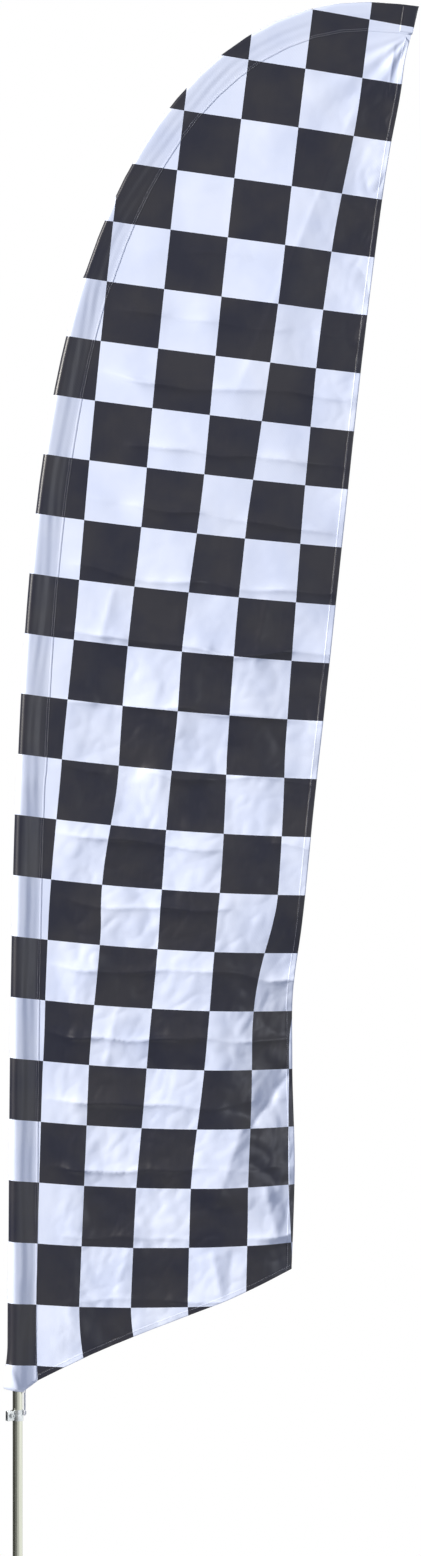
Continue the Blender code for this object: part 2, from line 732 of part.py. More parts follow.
def make_clamp_band():
    """A pressed steel band round the pole, whose two ears the screw draws together."""
    band = ring("clamp_band", CLAMP_RADIUS, CLAMP_BORE / 2, -CLAMP_TALL / 2, CLAMP_TALL / 2, zinc_steel)
    ear_start = CLAMP_BORE
    middle = -(ear_start + EAR_REACH) / 2
    ears = block("ears", (EAR_REACH - ear_start, 2 * EAR_FACE, EAR_TALL), (middle, 0.0, 0.0))
    rounding = ears.modifiers.new("round_corners", "BEVEL")
    rounding.width = EAR_CORNER / 4
    rounding.segments = 2
    bore = rod("clamp_bore", CLAMP_BORE, -CLAMP_TALL, CLAMP_TALL)
    mouth = block("clamp_mouth", (2 * EAR_REACH, EAR_GAP, 2 * CLAMP_TALL), (-EAR_REACH, 0.0, 0.0))
    hole = rod("ear_hole", SCREW_HOLE, -EAR_REACH, EAR_REACH)
    hole.rotation_euler.x = math.radians(90)
    hole.location.x = -SCREW_REACH
    boolean(band, ears, "UNION")
    for tool in (bore, mouth, hole):
        boolean(band, tool)
    for made in (band, ears, bore, mouth, hole):
        made.parent = clamp_axis


def screw_piece(made, height):
    """Put a piece made along +Z on the screw's line, its own height zero this far out from the middle."""
    made.parent = clamp_axis
    made.rotation_euler.x = math.radians(90)
    made.location = (-SCREW_REACH, -height, 0.0)


def make_clamp_screw():
    """Cap screw through both ears, its head to the front."""
    head_seat = EAR_FACE + GAP + WASHER_THICKNESS + GAP
    profile = [
        (0.0, SCREW_HEAD_HEIGHT - SCREW_SOCKET_DEPTH),
        (SCREW_SOCKET_RADIUS, SCREW_HEAD_HEIGHT - SCREW_SOCKET_DEPTH),
        (SCREW_SOCKET_RADIUS, SCREW_HEAD_HEIGHT),
        (SCREW_HEAD_RADIUS - SCREW_CHAMFER, SCREW_HEAD_HEIGHT),
        (SCREW_HEAD_RADIUS, SCREW_HEAD_HEIGHT - SCREW_CHAMFER),
        (SCREW_HEAD_RADIUS, 0.0),
        (SCREW_RADIUS, 0.0),
        (SCREW_RADIUS, SCREW_CHAMFER - SCREW_LENGTH),
        (SCREW_RADIUS - SCREW_CHAMFER, -SCREW_LENGTH),
        (0.0, -SCREW_LENGTH),
    ]
    screw_piece(turned("clamp_screw", profile, zinc_steel), head_seat)
    washer = ring("screw_washer", WASHER_RADIUS, SCREW_HOLE, 0.0, WASHER_THICKNESS, zinc_steel)
    screw_piece(washer, EAR_FACE + GAP)


def make_clamp_nut():
    """Hexagon nut behind the rear ear."""
    mesh = bpy.data.meshes.new("clamp_nut")
    shape = bmesh.new()
    corner = NUT_FLATS / math.sqrt(3)
    bmesh.ops.create_cone(
        shape, cap_ends=True, segments=6, radius1=corner, radius2=corner, depth=NUT_HEIGHT
    )
    shape.to_mesh(mesh)
    shape.free()
    nut = add_object("clamp_nut", mesh, zinc_steel)
    hole = rod("nut_hole", SCREW_HOLE, -NUT_HEIGHT, NUT_HEIGHT)
    boolean(nut, hole)
    for made in (nut, hole):
        screw_piece(made, -(EAR_FACE + GAP + NUT_HEIGHT / 2))


make_spike_rod()
make_step_plate()
make_bearing()
make_spindle()
make_lower_tube()
make_middle_tube()
make_middle_ferrule()
make_upper_rod()
make_upper_ferrule()
make_tip_rod()
make_tip_cap()
make_pole_sleeve()
make_sail_panel()
make_tip_pocket()
make_corner_tab()
make_tie_cord()
make_cord_eye()
make_tie_stud()
make_clamp_band()
make_clamp_screw()
make_clamp_nut()
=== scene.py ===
import math

import bmesh
import bpy
import numpy as np
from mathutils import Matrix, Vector, noise


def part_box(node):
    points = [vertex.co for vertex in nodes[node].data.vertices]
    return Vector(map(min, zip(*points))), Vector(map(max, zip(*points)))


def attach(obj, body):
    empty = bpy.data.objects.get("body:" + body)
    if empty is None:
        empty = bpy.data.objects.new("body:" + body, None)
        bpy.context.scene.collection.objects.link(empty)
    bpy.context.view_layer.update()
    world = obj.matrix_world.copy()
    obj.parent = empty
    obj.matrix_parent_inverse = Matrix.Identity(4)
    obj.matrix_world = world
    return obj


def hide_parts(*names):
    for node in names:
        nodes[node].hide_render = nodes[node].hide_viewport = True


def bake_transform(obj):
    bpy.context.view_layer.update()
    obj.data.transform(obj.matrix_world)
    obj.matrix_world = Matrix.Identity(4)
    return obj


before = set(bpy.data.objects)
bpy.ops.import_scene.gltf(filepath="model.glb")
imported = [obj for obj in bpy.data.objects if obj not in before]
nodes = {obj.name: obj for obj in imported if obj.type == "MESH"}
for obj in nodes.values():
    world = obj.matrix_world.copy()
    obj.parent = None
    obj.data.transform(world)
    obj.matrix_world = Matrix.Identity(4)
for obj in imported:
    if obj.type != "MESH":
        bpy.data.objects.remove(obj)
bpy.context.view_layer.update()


# ------------------------------------------------------------------ ground spike
# A round steel spike with a journal turned on its top and a flat step plate welded on below that.
# Both are mild steel, zinc plated after welding, and are driven into turf with a boot.
MILLIMETRE = 0.001


def linear(code):
    """An sRGB hex colour as the linear RGBA that a shader socket takes."""
    shares = [int(code[place : place + 2], 16) / 255 for place in (1, 3, 5)]
    return (*[s / 12.92 if s <= 0.04045 else ((s + 0.055) / 1.055) ** 2.4 for s in shares], 1.0)


def new_finish(name):
    """An empty material, ready for its own nodes."""
    made = bpy.data.materials.new(name)
    made.use_nodes = True
    made.node_tree.nodes.clear()
    return made


def add(finish, kind, inputs=None, steps=(), **settings):
    """Adds a node to a material. The settings are the node's own, an input is a value or another
    node's socket, and a colour ramp's steps are places from 0 to 1 with their hex colours."""
    tree = finish.node_tree
    made = tree.nodes.new(kind)
    for name, value in settings.items():
        setattr(made, name, value)
    for name, value in (inputs or {}).items():
        if isinstance(value, bpy.types.NodeSocket):
            tree.links.new(value, made.inputs[name])
        else:
            made.inputs[name].default_value = value
    for number, (place, code) in enumerate(steps):
        stops = made.color_ramp.elements
        stop = stops[number] if number < len(stops) else stops.new(place)
        stop.position = place
        stop.color = linear(code)
    return made


def dress(finish, *names):
    """Gives CAD nodes their finish."""
    for name in names:
        mesh = nodes[name].data
        mesh.materials.clear()
        mesh.materials.append(finish)


# Zinc-plated steel: electroplated and clear passivated, so it is pale and a little blue, with a
# mottle where the crystals lie differently, brighter and duller by patches, and finely scratched.
MOTTLE = 4 * MILLIMETRE
CLOUD = 16 * MILLIMETRE
SCRATCH = 1.2 * MILLIMETRE
MOTTLE_SHARE = 0.35
zinc_plate = new_finish("zinc_plated_steel_passivated")
place = add(zinc_plate, "ShaderNodeTexCoord").outputs["Object"]
mottle = add(zinc_plate, "ShaderNodeTexVoronoi", {"Vector": place, "Scale": 1 / MOTTLE})
cloud = add(zinc_plate, "ShaderNodeTexNoise", {"Vector": place, "Scale": 1 / CLOUD, "Detail": 4.0})
scratch = add(zinc_plate, "ShaderNodeTexNoise", {"Vector": place, "Scale": 1 / SCRATCH, "Detail": 6.0})
crystals = add(
    zinc_plate,
    "ShaderNodeMix",
    {"Factor": MOTTLE_SHARE, "A": cloud.outputs["Fac"], "B": mottle.outputs["Color"]},
    data_type="FLOAT",
).outputs[0]
zinc_colour = add(
    zinc_plate, "ShaderNodeValToRGB", {"Fac": crystals}, steps=((0.3, "#b2b7bc"), (0.7, "#d6dadd"))
)
zinc_dullness = add(
    zinc_plate, "ShaderNodeMapRange", {"Value": crystals, "To Min": 0.20, "To Max": 0.38}
)
zinc_bump = add(
    zinc_plate,
    "ShaderNodeBump",
    {"Strength": 0.18, "Distance": 0.15 * MILLIMETRE, "Height": scratch.outputs["Fac"]},
)
zinc_shader = add(
    zinc_plate,
    "ShaderNodeBsdfPrincipled",
    {
        "Base Color": zinc_colour.outputs["Color"],
        "Metallic": 1.0,
        "Roughness": zinc_dullness.outputs["Result"],
        "Normal": zinc_bump.outputs["Normal"],
    },
)
add(zinc_plate, "ShaderNodeOutputMaterial", {"Surface": zinc_shader.outputs["BSDF"]})
dress(zinc_plate, "spike_rod", "step_plate", "journal_washer", "retaining_ring")


# ------------------------------------------------------------------ turning bearing
# Two hardened washers with a ring of balls in a cage between them, so that the flag can turn with
# the wind. The races are ground bright and oiled; the cage is moulded nylon.
WAVE_PITCH = 2 * math.pi / 20  # between the lines of a wave texture, at a scale of 1
GRIND_PITCH = 1.58 * MILLIMETRE  # real grinding rings are finer, so these are drawn coarser to show
OIL_SMEAR = 8.33 * MILLIMETRE

# Ground bearing steel: mirror-like with fine rings left by the wheel and a faint film of oil.
race_steel = new_finish("bearing_steel_ground")
place = add(race_steel, "ShaderNodeTexCoord").outputs["Object"]
rings = add(
    race_steel,
    "ShaderNodeTexWave",
    {"Vector": place, "Scale": WAVE_PITCH / GRIND_PITCH, "Distortion": 0.6, "Detail": 2.0},
    wave_type="RINGS",
    rings_direction="Z",
)
smear = add(race_steel, "ShaderNodeTexNoise", {"Vector": place, "Scale": 1 / OIL_SMEAR, "Detail": 3.0})
race_colour = add(
    race_steel,
    "ShaderNodeValToRGB",
    {"Fac": smear.outputs["Fac"]},
    steps=((0.3, "#b4b6ba"), (0.7, "#cdcfd2")),
)
race_polish = add(
    race_steel, "ShaderNodeMapRange", {"Value": smear.outputs["Fac"], "To Min": 0.14, "To Max": 0.3}
)
race_bump = add(
    race_steel,
    "ShaderNodeBump",
    {"Strength": 0.1, "Distance": 0.05 * MILLIMETRE, "Height": rings.outputs["Fac"]},
)
race_shader = add(
    race_steel,
    "ShaderNodeBsdfPrincipled",
    {
        "Base Color": race_colour.outputs["Color"],
        "Metallic": 1.0,
        "Roughness": race_polish.outputs["Result"],
        "Normal": race_bump.outputs["Normal"],
    },
)
add(race_steel, "ShaderNodeOutputMaterial", {"Surface": race_shader.outputs["BSDF"]})
dress(race_steel, "lower_race", "upper_race")

# Glass-filled nylon, injection moulded: dark grey, softly grained by the tool, a little glossy.
TOOL_GRAIN = 0.667 * MILLIMETRE
cage_plastic = new_finish("nylon_moulded")
place = add(cage_plastic, "ShaderNodeTexCoord").outputs["Object"]
grain = add(cage_plastic, "ShaderNodeTexNoise", {"Vector": place, "Scale": 1 / TOOL_GRAIN, "Detail": 2.0})
cage_colour = add(
    cage_plastic,
    "ShaderNodeValToRGB",
    {"Fac": grain.outputs["Fac"]},
    steps=((0.3, "#303231"), (0.7, "#3c3e3d")),
)
cage_bump = add(
    cage_plastic,
    "ShaderNodeBump",
    {"Strength": 0.25, "Distance": 0.1 * MILLIMETRE, "Height": grain.outputs["Fac"]},
)
cage_shader = add(
    cage_plastic,
    "ShaderNodeBsdfPrincipled",
    {
        "Base Color": cage_colour.outputs["Color"],
        "Roughness": 0.48,
        "IOR": 1.53,
        "Normal": cage_bump.outputs["Normal"],
    },
)
add(cage_plastic, "ShaderNodeOutputMaterial", {"Surface": cage_shader.outputs["BSDF"]})
dress(cage_plastic, "ball_cage")


# ------------------------------------------------------------------ aluminium pole tubes and their spindle
# Drawn aluminium tubes that plug into each other through ferrules. The lowest stands on the spindle
# sleeve and is the only one that shows, under the flag.
DRAW_LINE = 1.6 * MILLIMETRE  # real draw lines are finer than 0.2 mm, so these are drawn coarser to show
DRAW_RUN = 220 * MILLIMETRE
HANDLING_MARK = 71.4 * MILLIMETRE

# Aluminium, drawn and clear anodised: satin grey with a slight green cast, faint lines along the tube
# from the die, and cloudy handling marks.
drawn_tube = new_finish("aluminium_drawn_anodised")
place = add(drawn_tube, "ShaderNodeTexCoord").outputs["Object"]
stretched = add(
    drawn_tube,
    "ShaderNodeMapping",
    {"Vector": place, "Scale": (1 / DRAW_LINE, 1 / DRAW_LINE, 1 / DRAW_RUN)},
)
lines = add(
    drawn_tube, "ShaderNodeTexNoise", {"Vector": stretched.outputs["Vector"], "Scale": 1.0, "Detail": 3.0}
)
marks = add(
    drawn_tube,
    "ShaderNodeTexNoise",
    {"Vector": place, "Scale": 1 / HANDLING_MARK, "Detail": 5.0, "Roughness": 0.6},
)
tube_colour = add(
    drawn_tube,
    "ShaderNodeValToRGB",
    {"Fac": lines.outputs["Fac"]},
    steps=((0.3, "#b9bcb0"), (0.7, "#d0d2c8")),
)
tube_polish = add(
    drawn_tube, "ShaderNodeMapRange", {"Value": marks.outputs["Fac"], "To Min": 0.17, "To Max": 0.28}
)
tube_bump = add(
    drawn_tube,
    "ShaderNodeBump",
    {"Strength": 0.22, "Distance": 0.08 * MILLIMETRE, "Height": lines.outputs["Fac"]},
)
tube_shader = add(
    drawn_tube,
    "ShaderNodeBsdfPrincipled",
    {
        "Base Color": tube_colour.outputs["Color"],
        "Metallic": 1.0,
        "Roughness": tube_polish.outputs["Result"],
        "Anisotropic": 0.4,
        "Normal": tube_bump.outputs["Normal"],
    },
)
add(drawn_tube, "ShaderNodeOutputMaterial", {"Surface": tube_shader.outputs["BSDF"]})
dress(drawn_tube, "spindle_sleeve", "lower_tube", "middle_tube", "middle_ferrule", "upper_ferrule")


# ------------------------------------------------------------------ fibreglass rods and the tip cap
# Pultruded fibreglass: the upper rod and the tapered tip rod carry the bend. A rubber cap keeps the
# tip from working through the cloth.
ROVING = 0.9 * MILLIMETRE
ROVING_RUN = 167 * MILLIMETRE

# Pultruded glass fibre in polyester resin: off-white, slightly glossy, with the rovings showing as
# fine grey-green lines along the rod.
rod_fibreglass = new_finish("fibreglass_pultruded")
place = add(rod_fibreglass, "ShaderNodeTexCoord").outputs["Object"]
drawn_out = add(
    rod_fibreglass,
    "ShaderNodeMapping",
    {"Vector": place, "Scale": (1 / ROVING, 1 / ROVING, 1 / ROVING_RUN)},
)
rovings = add(
    rod_fibreglass,
    "ShaderNodeTexNoise",
    {"Vector": drawn_out.outputs["Vector"], "Scale": 1.0, "Detail": 4.0},
)
rod_colour = add(
    rod_fibreglass,
    "ShaderNodeValToRGB",
    {"Fac": rovings.outputs["Fac"]},
    steps=((0.3, "#c9cdbf"), (0.7, "#e4e5dc")),
)
rod_bump = add(
    rod_fibreglass,
    "ShaderNodeBump",
    {"Strength": 0.15, "Distance": 0.1 * MILLIMETRE, "Height": rovings.outputs["Fac"]},
)
rod_shader = add(
    rod_fibreglass,
    "ShaderNodeBsdfPrincipled",
    {
        "Base Color": rod_colour.outputs["Color"],
        "Roughness": 0.34,
        "IOR": 1.55,
        "Normal": rod_bump.outputs["Normal"],
    },
)
add(rod_fibreglass, "ShaderNodeOutputMaterial", {"Surface": rod_shader.outputs["BSDF"]})
dress(rod_fibreglass, "upper_rod", "tip_rod")

# Rubber, moulded: near black, matt, with a bloom that leaves it uneven.
RUBBER_BLOOM = 2.5 * MILLIMETRE
cap_rubber = new_finish("rubber_moulded")
place = add(cap_rubber, "ShaderNodeTexCoord").outputs["Object"]
bloom = add(cap_rubber, "ShaderNodeTexNoise", {"Vector": place, "Scale": 1 / RUBBER_BLOOM, "Detail": 5.0})
cap_colour = add(
    cap_rubber,
    "ShaderNodeValToRGB",
    {"Fac": bloom.outputs["Fac"]},
    steps=((0.35, "#17181a"), (0.7, "#2a2b2c")),
)
cap_bump = add(
    cap_rubber,
    "ShaderNodeBump",
    {"Strength": 0.3, "Distance": 0.1 * MILLIMETRE, "Height": bloom.outputs["Fac"]},
)
cap_shader = add(
    cap_rubber,
    "ShaderNodeBsdfPrincipled",
    {
        "Base Color": cap_colour.outputs["Color"],
        "Roughness": 0.72,
        "IOR": 1.52,
        "Normal": cap_bump.outputs["Normal"],
    },
)
add(cap_rubber, "ShaderNodeOutputMaterial", {"Surface": cap_shader.outputs["BSDF"]})
dress(cap_rubber, "tip_cap")


# ------------------------------------------------------------------ tie clamp
# A band bent from zinc-plated strip, closed round the tube by a screw through its two ears, with a
# nut behind and a round-headed stud on its right side.
dress(zinc_plate, "clamp_band", "tie_stud", "clamp_screw", "screw_washer", "clamp_nut")


# ------------------------------------------------------------------ sail
# One panel of woven polyester, 110 g a square metre, printed through in black and white squares of
# six inches, cut to a leaning free edge and a sloping hem. It hangs from the sleeve in soft rolls.
SQUARE = 0.1524
POLE_LENGTH = 5.08
BEND_START = 1.20
BEND_TIP_ANGLE = math.radians(97.0)
BEND_DECAY = 0.618
BEND_EASE = 0.15
POLE_STEP = 0.08
FLAG_BOTTOM = 1.050
HEM_FOOT_RISE = 0.0215
SLEEVE_WIDTH = 0.070
SLEEVE_WALL = 0.0015
SLEEVE_SLACK = 0.0115
SLEEVE_EASE = 0.0008
JOINT_CLEARANCE = 0.0003
SLEEVE_TOP = POLE_LENGTH + JOINT_CLEARANCE
CLOTH_THICKNESS = 0.0008  # real cloth is near 0.2 mm, and this is thicker so that its faces stay apart
# The bare pole's radius up to each distance; cloth bridges the steps between the sections.
POLE_RADII = ((1.34, 0.0127), (2.6083, 0.0110), (3.888, 0.0080), (POLE_LENGTH + 1, 0.0045))

# The lower edge's height off a straight line, at shares of its length from the sleeve, and then the
# free edge as x and z.
HEM_LINE = ((0.0, 0.0), (0.18, 0.006), (0.38, 0.004), (0.83, -0.006), (1.0, 0.0))
FLY_EDGE = (
    (0.696, 1.360),
    (0.704, 1.61),
    (0.698, 1.90),
    (0.700, 2.07),
    (0.720, 2.22),
    (0.752, 2.53),
    (0.785, 2.83),
    (0.834, 3.29),
    (0.866, 3.59),
    (0.903, 3.90),
    (0.945, 4.20),
    (0.974, 4.354),
    (0.984, 4.43),
    (1.013, 4.556),
)

# Each roll of the cloth: x at its foot and at its head, its lowest and highest z, the half width over
# which it turns away, the cloth that it takes up (in squares) and how far it stands back.
ROLLS = (
    (0.068, 0.092, 1.090, 2.448, 0.101, 0.328, 0.002),
    (0.154, 0.311, 1.060, 1.731, 0.150, 0.173, 0.006),
    (0.400, 0.400, 1.000, 2.500, 0.160, 0.000, -0.018),
    (0.779, 0.607, 1.193, 2.107, 0.150, 0.795, 0.056),
    (0.309, 0.838, 2.459, 4.176, 0.087, 0.248, 0.005),
    (0.104, 0.562, 2.038, 3.225, 0.042, -0.100, -0.004),
    (-0.050, 0.386, 2.496, 3.237, 0.149, 0.091, 0.006),
    (0.180, 0.640, 2.500, 4.300, 0.180, 0.000, -0.006),
)
# Sharp folds where the cloth was crushed or is pulled: x and z of the foot and of the head, the reach
# to the left and to the right, and the height, which is towards the front when it is positive.
FOLDS = (
    (0.590, 1.714, 0.690, 1.855, 0.050, 0.030, -0.0130),
    (0.508, 1.530, 0.575, 1.730, 0.060, 0.040, 0.0150),
    (0.660, 1.430, 0.631, 1.565, 0.030, 0.028, 0.0085),
    (0.520, 1.290, 0.496, 1.400, 0.030, 0.014, 0.0060),
    (0.535, 1.300, 0.545, 1.410, 0.014, 0.030, -0.0050),
    (0.560, 3.600, 0.840, 4.270, 0.010, 0.070, 0.0024),
    (0.598, 2.880, 0.634, 3.060, 0.012, 0.030, 0.0040),
    (0.212, 2.960, 0.245, 3.090, 0.012, 0.020, 0.0034),
    (0.940, 4.340, 0.960, 4.480, 0.020, 0.008, 0.0040),
    (0.250, 1.300, 0.300, 1.480, 0.014, 0.030, 0.0036),
    (0.330, 1.560, 0.350, 1.700, 0.012, 0.040, 0.0030),
    (0.225, 1.880, 0.250, 2.010, 0.010, 0.016, 0.0036),
)
FOLD_FADE = 4.0  # a fold dies away over a quarter of its length at either end
ROLL_FADE = 0.4  # a roll dies away over this height at either end
DEPTH_LIMIT = 0.045  # the cloth never stands further than this from the pole's plane
HEM_LINE_REACH = 0.06  # the sloping hem's own curve is gone at this share of the sail's height
PRINT_FOOT = 1.1
PRINT_HEIGHT = 3.4
SAIL_ROWS = 880
SAIL_COLUMNS = 108
MERGE = 0.00005  # points nearer than this are one


def bend_share(distance):
    """How much of the whole bend the pole has made here, before it is made to start at nothing."""
    rest = POLE_LENGTH - distance
    return math.exp(-(math.hypot(rest, BEND_EASE) - BEND_EASE) / BEND_DECAY)


def bend_angle(distance):
    """The pole's angle from the vertical."""
    foot = bend_share(BEND_START)
    share = (bend_share(max(distance, BEND_START)) - foot) / (1.0 - foot)
    return BEND_TIP_ANGLE * share


pole_line = [np.zeros(3)]
for number in range(math.ceil(POLE_LENGTH / POLE_STEP) + 2):
    angle = bend_angle((number + 0.5) * POLE_STEP)
    pole_line.append(pole_line[-1] + POLE_STEP * np.array([math.sin(angle), 0.0, math.cos(angle)]))


def pole_point(distance):
    """A point on the pole's line."""
    number = min(max(int(distance // POLE_STEP), 0), len(pole_line) - 2)
    share = distance / POLE_STEP - number
    return pole_line[number] * (1 - share) + pole_line[number + 1] * share


def outward(distance):
    """The direction across the pole, away from the flag."""
    angle = bend_angle(distance)
    return np.array([-math.cos(angle), 0.0, math.sin(angle)])


def covered_radius(distance):
    """The radius of the section of the pole that is inside the sleeve here."""
    return next(radius for top, radius in POLE_RADII if distance < top)


def slack(distance):
    """The sleeve's spare width, which tapers from its foot to its end."""
    share = (distance - FLAG_BOTTOM) / (SLEEVE_TOP - FLAG_BOTTOM)
    return SLEEVE_SLACK + (JOINT_CLEARANCE - SLEEVE_SLACK) * share


def eased(values, places):
    """Values at every place, with the steps between neighbouring places smoothed."""
    wide = np.pad(values, 2, mode="edge")
    return np.convolve(wide, (0.1, 0.2, 0.4, 0.2, 0.1), mode="valid")[: len(places)]


def ease(share):
    """0 up to 0 and 1 from 1, with a smooth way between."""
    share = np.clip(share, 0, 1)
    return share * share * (3 - 2 * share)


TIP_SLANT = 0.04  # the sleeve's upper end leans back towards the free edge
TIP_SLANT_REACH = 0.12  # and the lean is gone this far down


def tip_cut(distance, from_fold):
    """How far the sleeve's end is cut back along the pole."""
    return TIP_SLANT * from_fold * float(ease(1 - (SLEEVE_TOP - distance) / TIP_SLANT_REACH))


def along(distance):
    """The pole's own direction."""
    return np.array([math.sin(bend_angle(distance)), 0.0, math.cos(bend_angle(distance))])


def fold_offset(distance):
    """From the pole's axis to the outside of the sleeve's fold."""
    return covered_radius(distance) + slack(distance) + SLEEVE_WALL


def seam_point(distance):
    """The sleeve's inner edge, where the sail is sewn to it."""
    cut = along(distance) * tip_cut(distance, SLEEVE_WIDTH)
    return pole_point(distance) + outward(distance) * (fold_offset(distance) - SLEEVE_WIDTH) - cut


def smooth_through(points, places):
    """A smooth line through a few points, read at places along the first number of each."""
    knots = np.array(points, float)
    x, y = knots[:, 0], knots[:, 1]
    slopes = np.gradient(y, x)
    number = np.clip(np.searchsorted(x, places) - 1, 0, len(x) - 2)
    step = x[number + 1] - x[number]
    share = np.clip((places - x[number]) / step, 0, 1)
    rise = 1 - share
    return (
        y[number] * rise * rise * (1 + 2 * share)
        + y[number + 1] * share * share * (3 - 2 * share)
        + slopes[number] * step * share * rise * rise
        - slopes[number + 1] * step * share * share * rise
    )


seam_places = np.linspace(FLAG_BOTTOM + HEM_FOOT_RISE, SLEEVE_TOP, SAIL_ROWS + 1)
seam_line = np.array([seam_point(place) for place in seam_places])
for axis in (0, 2):
    seam_line[:, axis] = eased(seam_line[:, axis], seam_places)
TIP = (seam_line[-1][0], seam_line[-1][2])
fly_curve = [*FLY_EDGE[:-1], (TIP[0], TIP[1])]


def roll_amount(roll, x, z):
    """How far a roll has turned at each point: 0 before it and 1 beyond it, fading at its ends."""
    foot_x, head_x, low, high, half_width = roll[:5]
    middle = foot_x + (head_x - foot_x) * (z - low) / (high - low)
    fade = ease((z - low) / ROLL_FADE + 0.5) * ease((high - z) / ROLL_FADE + 0.5)
    return ease(((x - middle) / half_width + 1) / 2) * fade


def fold_height(fold, x, z):
    """A fold's height at each point: a sharp ridge that dies away to both sides and at its ends."""
    foot_x, foot_z, head_x, head_z, left_reach, right_reach, height = fold
    run_x, run_z = head_x - foot_x, head_z - foot_z
    length = math.hypot(run_x, run_z)
    share = ((x - foot_x) * run_x + (z - foot_z) * run_z) / length**2
    aside = ((x - foot_x) * run_z - (z - foot_z) * run_x) / length
    ends = ease(share * FOLD_FADE + 0.5) * ease((1 - share) * FOLD_FADE + 0.5)
    return height * np.exp(-np.maximum(aside / right_reach, -aside / left_reach)) * ends


def print_place(x, z):
    """Where the print lies on the hanging cloth: squares across and squares up, counted from the foot.
    It leans and bends with the pole and sags at the free edge, and every roll takes cloth up across."""
    up = (z - PRINT_FOOT) / PRINT_HEIGHT
    across = 0.592 - 0.357 * up - 1.266 * up**2 + 6.776 * x
    for roll in ROLLS:
        across = across + roll[5] * roll_amount(roll, x, z)
    tilt = 0.443 + 1.473 * up - 1.17 * up**2
    flare = -0.919 + 1.141 * up
    rows = -0.11 + 21.797 * up + 0.25 * up**2 + tilt * x + flare * x**2
    return across, rows


ROUGH_OCTAVES = 2


def rough(across, rows, pace, seed):
    """Smooth noise from about -1 to 1, the same in every run. The pace is how fast it changes per
    square across, how far it leans with the rows, and how fast it changes per row."""
    shift = Vector((seed * 17.3, seed * 5.1, seed * 2.7))
    places = zip(across * pace[0] + rows * pace[1], rows * pace[2])
    return np.array([noise.fractal(Vector((a, b, 0.0)) + shift, 1.0, 2.0, ROUGH_OCTAVES) for a, b in places])


# The broad swell of hanging cloth, in metres: all over, and more below 3.5 m.
SWELL = 0.0022
SWELL_LOW = 0.0038
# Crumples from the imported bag, coarse and fine. They are strong low down, faint near the tip, and
# strong again along the upper part of the free edge.
CRUMPLE_COARSE = 0.0050
CRUMPLE_FINE = 0.0032
CRUMPLE_LEAST = 0.12
CRUMPLE_EDGE = 1.3
CRUMPLE_EDGE_REACH = 0.07
# Folds that fan out from the tip, where the cloth is pulled.
FAN_HEIGHT = 0.0026
FAN_FOLDS = 17
FAN_REACH = 0.30
# Flutter along the free edge.
FLUTTER_HEIGHT = 0.0030
FLUTTER_LENGTH = 0.034
FLUTTER_REACH = 0.035
# Creases across the cloth, where it lay folded in its bag: each is a sharp line on a soft swelling.
CREASE_PITCH = 1.1  # squares
CREASE_DEPTH = 0.0065
CREASE_SWELL = 0.0060
CREASE_WIDTH = 0.05  # squares
CREASE_TOP = 4.3  # none above this height
# The cloth lies flat beside the seam, and the movement comes in over these distances.
LOOSE_FROM_SEAM = 0.12
CREASED_FROM_SEAM = 0.14


def crumples(across, rows, z, from_edge):
    """How far crumpled cloth stands forward."""
    low_down = (1 - CRUMPLE_LEAST) * ease((3.35 - z) / 0.9)
    at_edge = CRUMPLE_EDGE * np.exp(-from_edge / CRUMPLE_EDGE_REACH) * ease((z - 3.0) / 0.9)
    coarse = CRUMPLE_COARSE * np.abs(rough(across, rows, (1.2, 0.5, 1.1), 6))
    fine = CRUMPLE_FINE * np.abs(rough(across, rows, (2.9, -0.8, 2.4), 7))
    return (CRUMPLE_LEAST + low_down + at_edge) * (coarse + fine)


def tip_fan(x, z, tip):
    """How far the folds that fan out from the tip stand back."""
    reach = np.hypot(x - tip[0], z - tip[1])
    turn = np.arctan2(tip[1] - z, tip[0] - x)
    return FAN_HEIGHT * np.sin(turn * FAN_FOLDS + 0.6) * np.exp(-reach / FAN_REACH) * ease(reach / 0.06)


def creases(across, rows, z):
    """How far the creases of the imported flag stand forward."""
    place = (rows / CREASE_PITCH + 0.12 * rough(across, rows, (0.7, 0.0, 0.5), 4)) % 1.0
    strength = np.clip(0.75 + 1.3 * rough(across, rows, (0.8, 0.0, 0.6), 5), 0, 1.5)
    gap = np.minimum(place, 1 - place) * CREASE_PITCH / CREASE_WIDTH
    depth = CREASE_DEPTH * np.exp(-gap) + CREASE_SWELL * np.exp(-gap / 5)
    return strength * ease((CREASE_TOP - z) / 0.9) * depth


def cloth_depth(x, z, from_seam, from_edge):
    """How far the cloth stands back from the pole's plane."""
    across, rows = print_place(x, z)
    y = (SWELL + SWELL_LOW * ease(3.5 - z)) * rough(across, rows, (0.9, 0.12, 0.28), 1)
    for roll in ROLLS:
        y += roll[6] * roll_amount(roll, x, z)
    for fold in FOLDS:
        y -= fold_height(fold, x, z)
    y -= crumples(across, rows, z, from_edge)
    y += tip_fan(x, z, TIP)
    wander = 2.4 * rough(z, z, (3.0, 0.0, 0.0), 3)
    y += FLUTTER_HEIGHT * np.sin(z / FLUTTER_LENGTH + wander) * np.exp(-from_edge / FLUTTER_REACH)
    y *= ease(from_seam / LOOSE_FROM_SEAM)
    y -= creases(across, rows, z) * ease(from_seam / CREASED_FROM_SEAM)
    return DEPTH_LIMIT * np.tanh(y / DEPTH_LIMIT)


